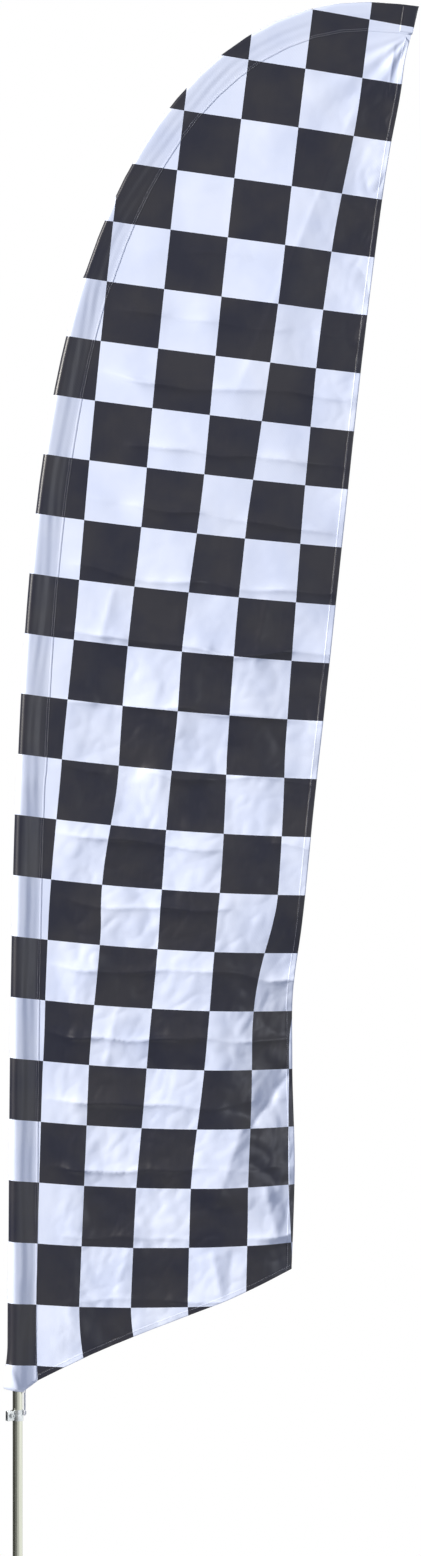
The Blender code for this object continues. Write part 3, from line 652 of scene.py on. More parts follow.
def sail_place(up, across):
    """x, z and the distances from the seam and the free edge, at shares up and across the sail."""
    rows = np.linspace(0, 1, SAIL_ROWS + 1)
    start = np.stack([np.interp(up, rows, seam_line[:, axis]) for axis in (0, 2)])
    heights = fly_curve[0][1] + (fly_curve[-1][1] - fly_curve[0][1]) * up
    edge_x = smooth_through([(z, x) for x, z in fly_curve], heights)
    stop = np.stack([edge_x, heights])
    width = np.maximum(np.hypot(*(stop - start)), 1e-6)
    x = start[0] + (stop[0] - start[0]) * across
    z = start[1] + (stop[1] - start[1]) * across
    z = z + smooth_through(HEM_LINE, across) * ease(1 - up / HEM_LINE_REACH)
    return x, z, width * across, width * (1 - across)


def add_piece(name, points, faces, finish, squares=None):
    """A mesh object from points and faces, with the print's place at each point as its UV map."""
    mesh = bpy.data.meshes.new(name)
    mesh.from_pydata([tuple(point) for point in points], [], faces)
    if squares is not None:
        layer = mesh.uv_layers.new(name="print")
        corners = np.zeros(len(mesh.loops), np.int32)
        mesh.loops.foreach_get("vertex_index", corners)
        layer.data.foreach_set("uv", np.asarray(squares, np.float32)[corners].ravel())
    mesh.materials.append(finish)
    mesh.shade_smooth()
    made = bpy.data.objects.new(name, mesh)
    bpy.context.scene.collection.objects.link(made)
    return made


def grid_faces(rows, columns, closed=False):
    """Quads between the points of a grid that is listed row by row."""
    faces = []
    span = columns if closed else columns - 1
    for row in range(rows - 1):
        for column in range(span):
            after = (column + 1) % columns
            first, above = row * columns, (row + 1) * columns
            faces.append((first + column, first + after, above + after, above + column))
    return faces


def thicken(made, thickness):
    """Gives a cloth piece its thickness, half to either side, and applies it."""
    shell = made.modifiers.new("cloth", "SOLIDIFY")
    shell.thickness = thickness
    shell.offset = 0.0
    view = bpy.context.evaluated_depsgraph_get()
    solid = bpy.data.meshes.new_from_object(
        made.evaluated_get(view), preserve_all_data_layers=True, depsgraph=view
    )
    made.modifiers.clear()
    made.data = solid


# Woven polyester, dye-sublimation printed and heat set: bluish white and charcoal squares with a
# crisp edge, a satin gloss that runs in streaks along the yarn, and a fine diagonal weave. The
# charcoal is also painted lighter and browner in broad patches: painted sheen.
DIAGONAL_PITCH = 2 * math.pi / (10 * math.sqrt(2))  # between a wave's diagonal lines, at a scale of 1
WEAVE_PITCH = 5.86 * MILLIMETRE  # real yarns are about 0.35 mm apart, so these are coarser to show
STREAK_WIDTH = 9 * MILLIMETRE
STREAK_LENGTH = 81 * MILLIMETRE
INK_AND_SHEEN_PATCH = 142.9 * MILLIMETRE
printed_cloth = new_finish("polyester_woven_printed")
print_uv = add(printed_cloth, "ShaderNodeUVMap", uv_map="print").outputs["UV"]
level = add(printed_cloth, "ShaderNodeVectorMath", {0: print_uv, 1: (0.0, 0.0, 0.5)}, operation="ADD")
squares = add(
    printed_cloth,
    "ShaderNodeTexChecker",
    {"Vector": level.outputs["Vector"], "Color1": (1, 1, 1, 1), "Color2": (0, 0, 0, 1), "Scale": 1.0},
)
place = add(printed_cloth, "ShaderNodeTexCoord").outputs["Object"]
silk = add(
    printed_cloth,
    "ShaderNodeMapping",
    {"Vector": print_uv, "Scale": (SQUARE / STREAK_WIDTH, SQUARE / STREAK_LENGTH, 1.0)},
)
streaks = add(
    printed_cloth, "ShaderNodeTexNoise", {"Vector": silk.outputs["Vector"], "Scale": 1.0, "Detail": 3.0}
)
# Broad patches over the cloth: the white ink's own uneven tone, and painted sheen on the black ink.
ink_and_sheen_patches = add(printed_cloth, "ShaderNodeTexNoise", {"Vector": place, "Scale": 1 / INK_AND_SHEEN_PATCH, "Detail": 4.0})
white_ink = add(
    printed_cloth,
    "ShaderNodeValToRGB",
    {"Fac": ink_and_sheen_patches.outputs["Fac"]},
    steps=((0.3, "#ccd5eb"), (0.7, "#d9e0f0")),
)
# The black ink turns lighter and browner in these patches: painted sheen, the satin's gloss painted into its
# colour.
black_ink_and_painted_sheen = add(
    printed_cloth,
    "ShaderNodeValToRGB",
    {"Fac": ink_and_sheen_patches.outputs["Fac"]},
    steps=((0.38, "#1d1f2d"), (0.62, "#2a2a31")),
)
# The print's two inks, the black one carrying its painted sheen.
ink_and_painted_sheen = add(
    printed_cloth,
    "ShaderNodeMix",
    {
        "Factor": squares.outputs["Fac"],
        "A": black_ink_and_painted_sheen.outputs["Color"],
        "B": white_ink.outputs["Color"],
    },
    data_type="RGBA",
)
weave = add(
    printed_cloth,
    "ShaderNodeTexWave",
    {"Vector": print_uv, "Scale": DIAGONAL_PITCH * SQUARE / WEAVE_PITCH, "Distortion": 0.4, "Detail": 1.0},
    bands_direction="DIAGONAL",
)
weave_and_streaks = add(
    printed_cloth,
    "ShaderNodeMix",
    {"Factor": 0.5, "A": weave.outputs["Fac"], "B": streaks.outputs["Fac"]},
    data_type="FLOAT",
)
cloth_bump = add(
    printed_cloth,
    "ShaderNodeBump",
    {"Strength": 0.25, "Distance": 0.4 * MILLIMETRE, "Height": weave_and_streaks.outputs[0]},
)
cloth_gloss = add(
    printed_cloth, "ShaderNodeMapRange", {"Value": streaks.outputs["Fac"], "To Min": 0.33, "To Max": 0.46}
)
cloth_shader = add(
    printed_cloth,
    "ShaderNodeBsdfPrincipled",
    {
        "Base Color": ink_and_painted_sheen.outputs[2],
        "Roughness": cloth_gloss.outputs["Result"],
        "IOR": 1.5,
        "Specular IOR Level": 0.40,
        "Sheen Weight": 0.08,
        "Sheen Roughness": 0.4,
        "Sheen Tint": linear("#c9cfe6"),
        "Normal": cloth_bump.outputs["Normal"],
    },
)
add(printed_cloth, "ShaderNodeOutputMaterial", {"Surface": cloth_shader.outputs["BSDF"]})

row_shares = np.repeat(np.linspace(0, 1, SAIL_ROWS + 1), SAIL_COLUMNS + 1)
column_shares = np.tile(np.linspace(0, 1, SAIL_COLUMNS + 1), SAIL_ROWS + 1)
sail_x, sail_z, seam_gap, edge_gap = sail_place(row_shares, column_shares)
sail_y = cloth_depth(sail_x, sail_z, seam_gap, edge_gap)
sail = add_piece(
    "sail",
    np.stack([sail_x, sail_y, sail_z], 1),
    grid_faces(SAIL_ROWS + 1, SAIL_COLUMNS + 1),
    printed_cloth,
    np.stack(print_place(sail_x, sail_z), 1),
)
trimmed = bmesh.new()
trimmed.from_mesh(sail.data)
bmesh.ops.remove_doubles(trimmed, verts=trimmed.verts, dist=MERGE)
bmesh.ops.dissolve_degenerate(trimmed, edges=trimmed.edges, dist=MERGE)
trimmed.to_mesh(sail.data)
trimmed.free()
thicken(sail, CLOTH_THICKNESS)
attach(sail, "pole")
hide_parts("sail_panel")


# ------------------------------------------------------------------ pole sleeve
# The sail's own cloth, folded back round the pole and sewn down in a flat seam, so the print runs on
# over it. It is open at its foot, tapers to the tip and lies in soft ripples beside its seam.
SLEEVE_ROWS = 400
ROUND_STEPS = 18
FLAT_STEPS = 14
SEAM_HALF = 0.0008  # half the sleeve's thickness where it meets the sail
SEAM_LAP = 0.003  # how far it goes on past the seam


def sleeve_ring(distance, lap=SEAM_LAP):
    """The sleeve's section as (across, depth) pairs, from the front seam round the fold to the back."""
    offset = fold_offset(distance)
    radius = covered_radius(distance) + SLEEVE_WALL + SLEEVE_EASE + slack(distance) / 2
    middle = offset - radius
    seam = offset - SLEEVE_WIDTH - lap
    front = []
    for step in range(FLAT_STEPS):
        share = step / FLAT_STEPS
        a = seam + (middle - seam) * share
        front.append((a, -(SEAM_HALF + (radius - SEAM_HALF) * ease(share) ** 0.8 * share**0.35)))
    turns = [math.pi * step / ROUND_STEPS for step in range(ROUND_STEPS + 1)]
    fold = [(middle + radius * math.sin(turn), -radius * math.cos(turn)) for turn in turns]
    back = [(a, -depth) for a, depth in reversed(front)]
    return front + fold + back


FOOT_FLARE = 0.009  # the sleeve's foot spreads to the left
FOOT_LOWEST = 0.0127  # x of the lower edge's lowest point
FOOT_SLOPES = (0.22, 0.71)  # its rise to the left of that point, and to the right, up to the hem
FOOT_REACH = 0.12
FOOT_FOLD = (0.0040, 1.054, -0.0190, 1.112, 0.0090, 0.0060, 0.0065)  # given as the sail's folds are
FOLD_EDGE = 0.026  # from the pole's line to the fold, where the foot spreads most
FOOT_DROP = 0.0015  # the sleeve's foot hangs this far below the flag's own foot
SLEEVE_FOLD = 0.023  # between the soft folds that run along the sleeve
SLEEVE_RIPPLE = 0.00035
RIPPLE_START = 0.012  # the ripples start this far from the fold
RIPPLE_EASE = 0.02  # and grow, and die away at the seam, over this width
DRIFT_PACE = 2.4  # how fast the soft folds wander, and how fast they grow and die, per metre
PULL_PACE = 9.0


def foot_shift(distance, a):
    """How the sleeve's foot is cut and flared: a shift along x and along z."""
    near = float(ease(1 - (distance - FLAG_BOTTOM) / FOOT_REACH))
    aside = -a - FOOT_LOWEST
    rise = FOOT_SLOPES[1] * aside if aside > 0 else -FOOT_SLOPES[0] * aside
    return -FOOT_FLARE * near * max(0.0, a / FOLD_EDGE), rise * near


sleeve_places = np.linspace(FLAG_BOTTOM - FOOT_DROP, SLEEVE_TOP, SLEEVE_ROWS)
sleeve_points, sleeve_print = [], []
sections = np.array([sleeve_ring(place) for place in sleeve_places])
for column in range(sections.shape[1]):
    for axis in (0, 1):
        sections[:, column, axis] = eased(sections[:, column, axis], sleeve_places)
for distance, section in zip(sleeve_places, sections):
    middle, across = pole_point(distance), outward(distance)
    edge = max(a for a, depth in section)
    drift = noise.noise(Vector((distance * DRIFT_PACE, 0.0, 7.0)))
    pull = noise.noise(Vector((distance * PULL_PACE, 0.0, 3.0)))
    for a, depth in section:
        from_fold = edge - a
        from_seam = SLEEVE_WIDTH - from_fold
        flat = float(ease((from_fold - RIPPLE_START) / RIPPLE_EASE) * ease(from_seam / RIPPLE_EASE))
        wave = math.sin(2 * math.pi * from_fold / SLEEVE_FOLD + 9 * drift)
        ripple = SLEEVE_RIPPLE * flat * wave * (1 + pull)
        point = middle + across * a - along(distance) * tip_cut(distance, from_fold)
        side = -1.0 if depth < 0 else 1.0
        shift_x, shift_z = foot_shift(distance, a)
        if depth < 0 and distance < FLAG_BOTTOM + FOOT_REACH:
            ripple += float(fold_height(FOOT_FOLD, point[0] + shift_x, point[2] + shift_z))
        sleeve_points.append((point[0] + shift_x, depth + side * ripple, point[2] + shift_z))
        beyond = middle + across * (edge + (from_fold if depth > 0 else -from_fold))
        sleeve_print.append(print_place(beyond[0] + shift_x, beyond[2] + shift_z))
sleeve = add_piece(
    "sleeve",
    sleeve_points,
    grid_faces(SLEEVE_ROWS, sections.shape[1]),
    printed_cloth,
    sleeve_print,
)
thicken(sleeve, CLOTH_THICKNESS)
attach(sleeve, "pole")
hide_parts("pole_sleeve")

# The felled seam that closes the sleeve: four layers of the cloth rolled together and pressed flat.
FELL_WIDTH = 0.010
FELL_HALF = 0.0016  # half its thickness
FELL_SIDES = 16
FELL_FOOT_GAP = 0.002  # its ends stop short of the sleeve's
FELL_TIP_GAP = 0.006
fell_low = FLAG_BOTTOM + HEM_FOOT_RISE + FELL_FOOT_GAP
fell_places = np.linspace(fell_low, SLEEVE_TOP - FELL_TIP_GAP, SLEEVE_ROWS)
fell_middle = np.array([pole_point(place) for place in fell_places])
fell_across = np.array([outward(place) for place in fell_places])
fell_offset = eased(np.array([fold_offset(place) - SLEEVE_WIDTH for place in fell_places]), fell_places)


def fell_line(a, depth):
    """A line along the seam: a is its distance from the seam towards the fold."""
    line = fell_middle + fell_across * (fell_offset + a)[:, None]
    line[:, 1] += depth
    return line


fell_section = []
for turn in np.linspace(0, 2 * math.pi, FELL_SIDES, endpoint=False) + 0.1:
    rise = abs(math.sin(turn)) ** 0.8
    fell_section.append((FELL_WIDTH / 2 * math.cos(turn), math.copysign(FELL_HALF * rise, math.sin(turn))))
fell_lines = np.array([fell_line(a, depth) for a, depth in fell_section])
fell_points = fell_lines.transpose(1, 0, 2).reshape(-1, 3)
fell_ends = [
    tuple(reversed(range(FELL_SIDES))),
    tuple(range(len(fell_points) - FELL_SIDES, len(fell_points))),
]
fell = add_piece(
    "sleeve_seam",
    fell_points,
    grid_faces(SLEEVE_ROWS, FELL_SIDES, closed=True) + fell_ends,
    printed_cloth,
    np.stack(print_place(fell_points[:, 0], fell_points[:, 2]), 1),
)
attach(fell, "pole")


# ------------------------------------------------------------------ edge hems
# The free edge and the lower edge are turned under twice and sewn flat, so they stand a little
# proud of the sail and carry the same print.
HEM_WIDTH = 0.016
HEM_LIFT = 0.0011
HEM_EDGE = 0.002  # the folded edge is rounded over this width
HEM_PLY = 0.0004  # the strip's own thickness
HEM_PROFILE = 10
SAIL_TALL = 3.6  # about how tall the sail is, which turns metres into a share of its height
FLY_HEM_TOP = 0.993  # as a share of the height: it ends inside the tip pocket
FOOT_HEM_START = 0.012  # as a share of the width: it starts clear of the sleeve


def hem_strip(name, up, across, inward):
    """A folded band along one edge of the sail: inward is the step in shares across or up, per metre."""
    points, squares_at = [], []
    for side in (-1.0, 1.0):
        widths = np.linspace(HEM_WIDTH, 0.0, HEM_PROFILE)
        for width in widths if side < 0 else widths[::-1]:
            x, z, from_seam, from_edge = sail_place(up + inward[0] * width, across + inward[1] * width)
            y = cloth_depth(x, z, from_seam, from_edge)
            lift = HEM_LIFT * math.sqrt(min(1.0, width / HEM_EDGE))
            points.append(np.stack([x, y + side * lift, z], 1))
            squares_at.append(np.stack(print_place(x, z), 1))
    grid = np.array(points).transpose(1, 0, 2)
    shown = np.array(squares_at).transpose(1, 0, 2)
    count, around = grid.shape[:2]
    made = add_piece(
        name, grid.reshape(-1, 3), grid_faces(count, around), printed_cloth, shown.reshape(-1, 2)
    )
    thicken(made, HEM_PLY)
    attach(made, "pole")
    return made


fly_up = np.linspace(0.0, FLY_HEM_TOP, 640)
fly_width = sail_place(fly_up, np.ones(len(fly_up)))[2]
fly_hem = hem_strip("fly_hem", fly_up, np.ones(len(fly_up)), (0.0, -1 / fly_width))
foot_across = np.linspace(FOOT_HEM_START, 1.0, 160)
foot_hem = hem_strip("foot_hem", np.zeros(len(foot_across)), foot_across, (1 / SAIL_TALL, 0.0))


# ------------------------------------------------------------------ stitching
# Lockstitch in bonded polyester thread: two rows along the sleeve's seam and one row along each hem,
# on both faces. The real stitches are 3 mm long, and these are a little longer so that they show.
STITCH_PITCH = 0.005
STITCH_LENGTH = 0.0036
STITCH_WIDTH = 0.0007
STITCH_HEIGHT = 0.0006
STITCH_PROUD = 0.0003  # how far its middle stands off the hem's face
HEM_ROW = 0.013  # from the cloth's edge to the hem's row of stitches
SEAM_ROWS = (-0.0025, 0.0025)  # the two rows, to either side of the seam's middle

# Bonded polyester thread, twisted: a light bluish grey that suits both inks, a little shiny, with the
# twist showing along it.
SLANT_PITCH = 2 * math.pi / (10 * math.sqrt(3))  # between a wave's lines in space, at a scale of 1
TWIST = 1.14 * MILLIMETRE  # real twist is near 0.5 mm, so this is coarser to show
stitch_thread = new_finish("polyester_thread_twisted")
place = add(stitch_thread, "ShaderNodeTexCoord").outputs["Object"]
twist = add(
    stitch_thread,
    "ShaderNodeTexWave",
    {"Vector": place, "Scale": SLANT_PITCH / TWIST, "Distortion": 1.0},
    bands_direction="DIAGONAL",
)
thread_colour = add(
    stitch_thread,
    "ShaderNodeValToRGB",
    {"Fac": twist.outputs["Fac"]},
    steps=((0.2, "#a4a9bb"), (0.8, "#c4c8d6")),
)
thread_bump = add(
    stitch_thread,
    "ShaderNodeBump",
    {"Strength": 0.4, "Distance": 0.1 * MILLIMETRE, "Height": twist.outputs["Fac"]},
)
thread_shader = add(
    stitch_thread,
    "ShaderNodeBsdfPrincipled",
    {
        "Base Color": thread_colour.outputs["Color"],
        "Roughness": 0.5,
        "IOR": 1.5,
        "Sheen Weight": 0.2,
        "Normal": thread_bump.outputs["Normal"],
    },
)
add(stitch_thread, "ShaderNodeOutputMaterial", {"Surface": thread_shader.outputs["BSDF"]})


def stitches(name, lines):
    """Rows of stitches: small pointed bars at even steps along each line."""
    points, faces = [], []
    for line in lines:
        steps = np.linalg.norm(np.diff(line, axis=0), axis=1)
        run = np.concatenate([[0], np.cumsum(steps)])
        middles = np.arange(STITCH_PITCH / 2, run[-1], STITCH_PITCH)
        at = np.stack([np.interp(middles, run, line[:, axis]) for axis in range(3)], 1)
        ahead = np.stack([np.interp(middles + 0.001, run, line[:, axis]) for axis in range(3)], 1)
        way = ahead - at
        way /= np.maximum(np.linalg.norm(way, axis=1), 1e-9)[:, None]
        side = np.cross(way, (0.0, 1.0, 0.0))
        out = np.array((0.0, STITCH_HEIGHT / 2, 0.0))
        for centre, forward, sideways in zip(at, way, side):
            first = len(points)
            points += [centre - forward * STITCH_LENGTH / 2, centre + forward * STITCH_LENGTH / 2]
            for number in range(4):
                turn = math.pi / 2 * number
                points.append(centre + sideways * STITCH_WIDTH / 2 * math.cos(turn) + out * math.sin(turn))
            for number in range(4):
                here, after = first + 2 + number, first + 2 + (number + 1) % 4
                faces += [(first, after, here), (first + 1, here, after)]
    made = add_piece(name, points, faces, stitch_thread)
    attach(made, "pole")
    return made


def hem_row(up, across, side):
    """The line of a hem's stitches on one face of the cloth."""
    x, z, from_seam, from_edge = sail_place(up, across)
    y = cloth_depth(x, z, from_seam, from_edge) + side * (HEM_LIFT + STITCH_PROUD)
    return np.stack([x, y, z], 1)


stitches(
    "sleeve_stitches",
    [fell_line(a, side * FELL_HALF) for a in SEAM_ROWS for side in (-1, 1)],
)
hem_stitches = stitches(
    "hem_stitches",
    [hem_row(fly_up, 1 - HEM_ROW / fly_width, side) for side in (-1, 1)]
    + [hem_row(np.full(len(foot_across), HEM_ROW / SAIL_TALL), foot_across, side) for side in (-1, 1)],
)


# ------------------------------------------------------------------ tip pocket
# A patch of the same cloth, doubled over the sleeve's upper end and sewn shut, which the rod's cap
# pushes against. It carries the print on round the end.
POCKET_LAP = 0.034  # how far it reaches back over the sleeve
POCKET_REACH = 0.0058  # and how far it goes on past the sleeve's end
POCKET_TAPER = 0.9  # its end leans back towards the free edge
POCKET_PROUD = 0.0012  # over the sleeve's own face
POCKET_PINCH = 0.12  # the share of its thickness that is left where it is sewn shut
POCKET_PLY = 0.0006
POCKET_RINGS = 22
pocket_points, pocket_print = [], []
end_way = along(SLEEVE_TOP)
for ring in range(POCKET_RINGS + 1):
    share = ring / POCKET_RINGS
    ahead = -POCKET_LAP + (POCKET_LAP + POCKET_REACH) * share
    closing = math.sqrt(max(0.0, 1 - max(0.0, ahead / POCKET_REACH) ** 2)) if ahead > 0 else 1.0
    distance = SLEEVE_TOP + min(ahead, 0.0)
    middle = pole_point(distance)
    ring_line = sleeve_ring(distance, lap=0.0)
    edge = max(a for a, depth in ring_line)
    for a, depth in ring_line:
        pinch = POCKET_PINCH + (1 - POCKET_PINCH) * closing
        thick = math.copysign((abs(depth) + POCKET_PROUD) * pinch, depth)
        reach = max(ahead, 0.0) * (1 - POCKET_TAPER * (edge - a) / SLEEVE_WIDTH)
        point = middle + outward(distance) * a + end_way * (reach - tip_cut(distance, edge - a))
        pocket_points.append((point[0], thick, point[2]))
        pocket_print.append(print_place(point[0], point[2]))
ring_length = len(pocket_points) // (POCKET_RINGS + 1)
pocket = add_piece(
    "tip_pocket_cloth",
    pocket_points,
    grid_faces(POCKET_RINGS + 1, ring_length, closed=True),
    printed_cloth,
    pocket_print,
)
thicken(pocket, POCKET_PLY)
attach(pocket, "pole")
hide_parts("tip_pocket")


# ------------------------------------------------------------------ corner tab
# Twelve-millimetre polyester webbing, folded into a loop and caught in the sleeve's foot, for the tie.
tab_low, tab_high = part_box("corner_tab")
TAB_LAYER = 0.0013
TAB_RISE = 0.020  # the loop's ends run up inside the sleeve
TAB_SOFTNESS = 0.0004
RIB_PITCH = 2.96 * MILLIMETRE  # real ribs are near 1.5 mm apart, so these are coarser to show

# Polyester webbing, shuttle woven: white, matt, ribbed across by the weft.
white_webbing = new_finish("polyester_webbing_woven")
place = add(white_webbing, "ShaderNodeTexCoord").outputs["Object"]
ribs = add(
    white_webbing,
    "ShaderNodeTexWave",
    {"Vector": place, "Scale": WAVE_PITCH / RIB_PITCH, "Distortion": 0.3},
    bands_direction="Z",
)
web_colour = add(
    white_webbing,
    "ShaderNodeValToRGB",
    {"Fac": ribs.outputs["Fac"]},
    steps=((0.2, "#d2d4dc"), (0.8, "#e8e9ee")),
)
web_bump = add(
    white_webbing,
    "ShaderNodeBump",
    {"Strength": 0.5, "Distance": 0.2 * MILLIMETRE, "Height": ribs.outputs["Fac"]},
)
web_shader = add(
    white_webbing,
    "ShaderNodeBsdfPrincipled",
    {
        "Base Color": web_colour.outputs["Color"],
        "Roughness": 0.75,
        "IOR": 1.5,
        "Sheen Weight": 0.2,
        "Normal": web_bump.outputs["Normal"],
    },
)
add(white_webbing, "ShaderNodeOutputMaterial", {"Surface": web_shader.outputs["BSDF"]})
tab_x = (tab_low.x + tab_high.x) / 2
loop_radius = (tab_high.x - tab_low.x) / 2 - TAB_LAYER / 2
loop = [(tab_x - loop_radius, tab_high.z + TAB_RISE), (tab_x - loop_radius, tab_high.z)]
for turn in np.linspace(math.pi, 2 * math.pi, 13):
    height = tab_low.z + TAB_LAYER / 2 + loop_radius * (1 + math.sin(turn))
    loop.append((tab_x + loop_radius * math.cos(turn), height))
loop += [(tab_x + loop_radius, tab_high.z), (tab_x + loop_radius, tab_high.z + TAB_RISE)]
WEB_COLUMNS = 9
tab_points = []
for x, z in loop:
    for column in range(WEB_COLUMNS):
        share = column / (WEB_COLUMNS - 1)
        tab_points.append((x, tab_low.y + (tab_high.y - tab_low.y) * share, z))
tab = add_piece("corner_tab_webbing", tab_points, grid_faces(len(loop), WEB_COLUMNS), white_webbing)
thicken(tab, TAB_LAYER)
soften = tab.modifiers.new("soft_edges", "BEVEL")
soften.width = TAB_SOFTNESS
soften.segments = 2
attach(tab, "pole")
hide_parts("corner_tab")


# ------------------------------------------------------------------ elastic tie
# A short length of round elastic: a rubber core in a white braided cover. It hangs from the corner
# tab, its eye goes round the clamp's stud, and it holds the flag's corner down.
TIE_RADIUS = 0.0025
TIE_STRANDS = 8
TIE_SIDES = 32
TIE_RINGS = 60
BRAID_TURN = 9 * MILLIMETRE  # of the cord, for one turn of a strand
BRAID_RELIEF = 0.07  # as a share of the cord's radius
BRAID_FUZZ = 0.4 * MILLIMETRE
tie_low, tie_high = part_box("tie_cord")
tie_x = (tie_low.x + tie_high.x) / 2

# Polyester braid over rubber: white, soft, with the strands crossing in small diamonds.
white_braid = new_finish("polyester_braid_elastic")
place = add(white_braid, "ShaderNodeTexCoord").outputs["Object"]
fuzz = add(white_braid, "ShaderNodeTexNoise", {"Vector": place, "Scale": 1 / BRAID_FUZZ, "Detail": 3.0})
braid_colour = add(
    white_braid,
    "ShaderNodeValToRGB",
    {"Fac": fuzz.outputs["Fac"]},
    steps=((0.3, "#e6e8ec"), (0.7, "#f6f6f8")),
)
braid_bump = add(
    white_braid,
    "ShaderNodeBump",
    {"Strength": 0.4, "Distance": 0.1 * MILLIMETRE, "Height": fuzz.outputs["Fac"]},
)
braid_shader = add(
    white_braid,
    "ShaderNodeBsdfPrincipled",
    {
        "Base Color": braid_colour.outputs["Color"],
        "Roughness": 0.7,
        "IOR": 1.5,
        "Sheen Weight": 0.3,
        "Normal": braid_bump.outputs["Normal"],
    },
)
add(white_braid, "ShaderNodeOutputMaterial", {"Surface": braid_shader.outputs["BSDF"]})


def braid_radius(turn, run):
    """The cord's radius where two sets of strands cross."""
    wave = math.sin(TIE_STRANDS / 2 * turn + 2 * math.pi * run / BRAID_TURN * TIE_STRANDS / 4)
    other = math.sin(TIE_STRANDS / 2 * turn - 2 * math.pi * run / BRAID_TURN * TIE_STRANDS / 4)
    return TIE_RADIUS * (1 - BRAID_RELIEF + BRAID_RELIEF * abs(wave * other))


tie_points = []
for ring in range(TIE_RINGS + 1):
    height = tie_high.z + (tie_low.z - tie_high.z) * ring / TIE_RINGS
    for number in range(TIE_SIDES):
        turn = 2 * math.pi * number / TIE_SIDES
        radius = braid_radius(turn, tie_high.z - height)
        tie_points.append((tie_x + radius * math.cos(turn), radius * math.sin(turn), height))
tie_ends = [
    tuple(range(TIE_SIDES)),
    tuple(reversed(range(len(tie_points) - TIE_SIDES, len(tie_points)))),
]
tie_faces = grid_faces(TIE_RINGS + 1, TIE_SIDES, closed=True) + tie_ends
tie = add_piece("tie_elastic_cord", tie_points, tie_faces, white_braid)

eye_low, eye_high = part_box("cord_eye")
eye_middle = ((eye_low.x + eye_high.x) / 2, (eye_low.z + eye_high.z) / 2)
eye_radius = (eye_high.z - eye_low.z) / 2 - TIE_RADIUS
EYE_RINGS = 72
EYE_SIDES = 24
eye_points = []
for ring in range(EYE_RINGS):
    way = 2 * math.pi * ring / EYE_RINGS
    for number in range(EYE_SIDES):
        turn = 2 * math.pi * number / EYE_SIDES
        radius = braid_radius(turn, way * eye_radius)
        reach = eye_radius + radius * math.cos(turn)
        x, z = eye_middle[0] + radius * math.sin(turn), eye_middle[1] + reach * math.cos(way)
        eye_points.append((x, reach * math.sin(way), z))
eye_faces = grid_faces(EYE_RINGS, EYE_SIDES, closed=True)
last = (EYE_RINGS - 1) * EYE_SIDES
for number in range(EYE_SIDES):
    after = (number + 1) % EYE_SIDES
    eye_faces.append((last + number, last + after, after, number))
eye = add_piece("tie_eye", eye_points, eye_faces, white_braid)
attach(eye, "clamp")
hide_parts("cord_eye")

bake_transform(tie)
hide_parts("tie_cord")


# ------------------------------------------------------------------ camera, light and floor
# A level camera in front of the flag and a pale floor at the ground line. The soft light is a large
# panel on the left, a weaker one on the right, one behind, and a bluish fill from all round.
FRAME_TALL = 3.952
FRAME_MIDDLE = (0.490, 2.607)
CAMERA_BACK = 12.0
SENSOR = 36.0  # millimetres
FLOOR_RADIUS = 1.3
camera_data = bpy.data.cameras.new("camera")
camera_data.sensor_width = SENSOR
camera_data.lens = SENSOR * CAMERA_BACK / FRAME_TALL
camera = bpy.data.objects.new("camera", camera_data)
camera.location = (FRAME_MIDDLE[0], -CAMERA_BACK, FRAME_MIDDLE[1])
camera.rotation_euler = (math.radians(90), 0.0, 0.0)
bpy.context.scene.collection.objects.link(camera)
bpy.context.scene.camera = camera
bpy.context.scene.view_settings.view_transform = "Standard"

floor_mesh = bpy.data.meshes.new("floor")
shape = bmesh.new()
bmesh.ops.create_circle(shape, cap_ends=True, segments=96, radius=FLOOR_RADIUS)
shape.to_mesh(floor_mesh)
shape.free()
floor = bpy.data.objects.new("floor", floor_mesh)
bpy.context.scene.collection.objects.link(floor)
pale_floor = new_finish("paper_backdrop")
floor_shader = add(
    pale_floor, "ShaderNodeBsdfPrincipled", {"Base Color": linear("#e6e6e4"), "Roughness": 0.9}
)
add(pale_floor, "ShaderNodeOutputMaterial", {"Surface": floor_shader.outputs["BSDF"]})
floor_mesh.materials.append(pale_floor)

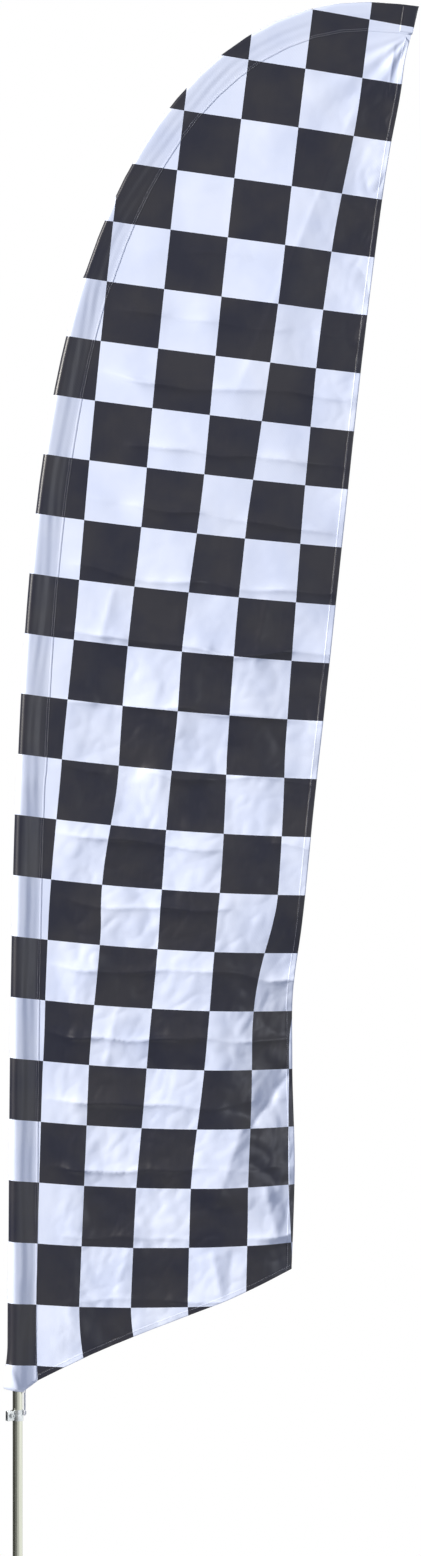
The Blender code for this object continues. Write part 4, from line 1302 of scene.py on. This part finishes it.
studio = bpy.data.worlds.new("studio")
studio.use_nodes = True
studio.node_tree.nodes.clear()
bpy.context.scene.world = studio
backdrop = add(studio, "ShaderNodeBackground", {"Color": linear("#ffffff"), "Strength": 1.0})
fill = add(studio, "ShaderNodeBackground", {"Color": linear("#c6d3f6"), "Strength": 0.27})
# What gloss mirrors, on the metals most of all: dark on the left, opening to a white wall on the right.
way = add(studio, "ShaderNodeTexCoord").outputs["Generated"]
sideways = add(studio, "ShaderNodeSeparateXYZ", {"Vector": way}).outputs["X"]
from_left = add(studio, "ShaderNodeMapRange", {"Value": sideways, "From Min": -1.0})
walls = add(
    studio,
    "ShaderNodeValToRGB",
    {"Fac": from_left.outputs["Result"]},
    steps=((0.05, "#3f3f3c"), (0.5, "#a2a2a0"), (0.92, "#fffffc")),
)
room = add(studio, "ShaderNodeBackground", {"Color": walls.outputs["Color"], "Strength": 1.35})
ray = add(studio, "ShaderNodeLightPath").outputs
lit = add(
    studio,
    "ShaderNodeMixShader",
    {"Fac": ray["Is Glossy Ray"], 1: fill.outputs["Background"], 2: room.outputs["Background"]},
)
seen = add(
    studio,
    "ShaderNodeMixShader",
    {"Fac": ray["Is Camera Ray"], 1: lit.outputs["Shader"], 2: backdrop.outputs["Background"]},
)
add(studio, "ShaderNodeOutputWorld", {"Surface": seen.outputs["Shader"]})


def panel_light(name, place, aim, size, power, colour):
    """A square studio panel that points at a place."""
    data = bpy.data.lights.new(name, "AREA")
    data.size = size
    data.energy = power
    data.color = linear(colour)[:3]
    made = bpy.data.objects.new(name, data)
    made.location = place
    made.rotation_mode = "QUATERNION"
    made.rotation_quaternion = (Vector(aim) - Vector(place)).to_track_quat("-Z", "Y")
    bpy.context.scene.collection.objects.link(made)


panel_light("key_panel", (-9.2, -5.2, 6.6), (0.4, 0, 2.6), 2.4, 2480.0, "#fffaf2")
panel_light("fill_panel", (6.0, -8.0, 3.0), (0.4, 0, 2.6), 1.6, 150.0, "#eef2ff")
panel_light("back_panel", (2.0, 7.0, 6.0), (0.4, 0, 2.6), 4.0, 600.0, "#f4f6ff")
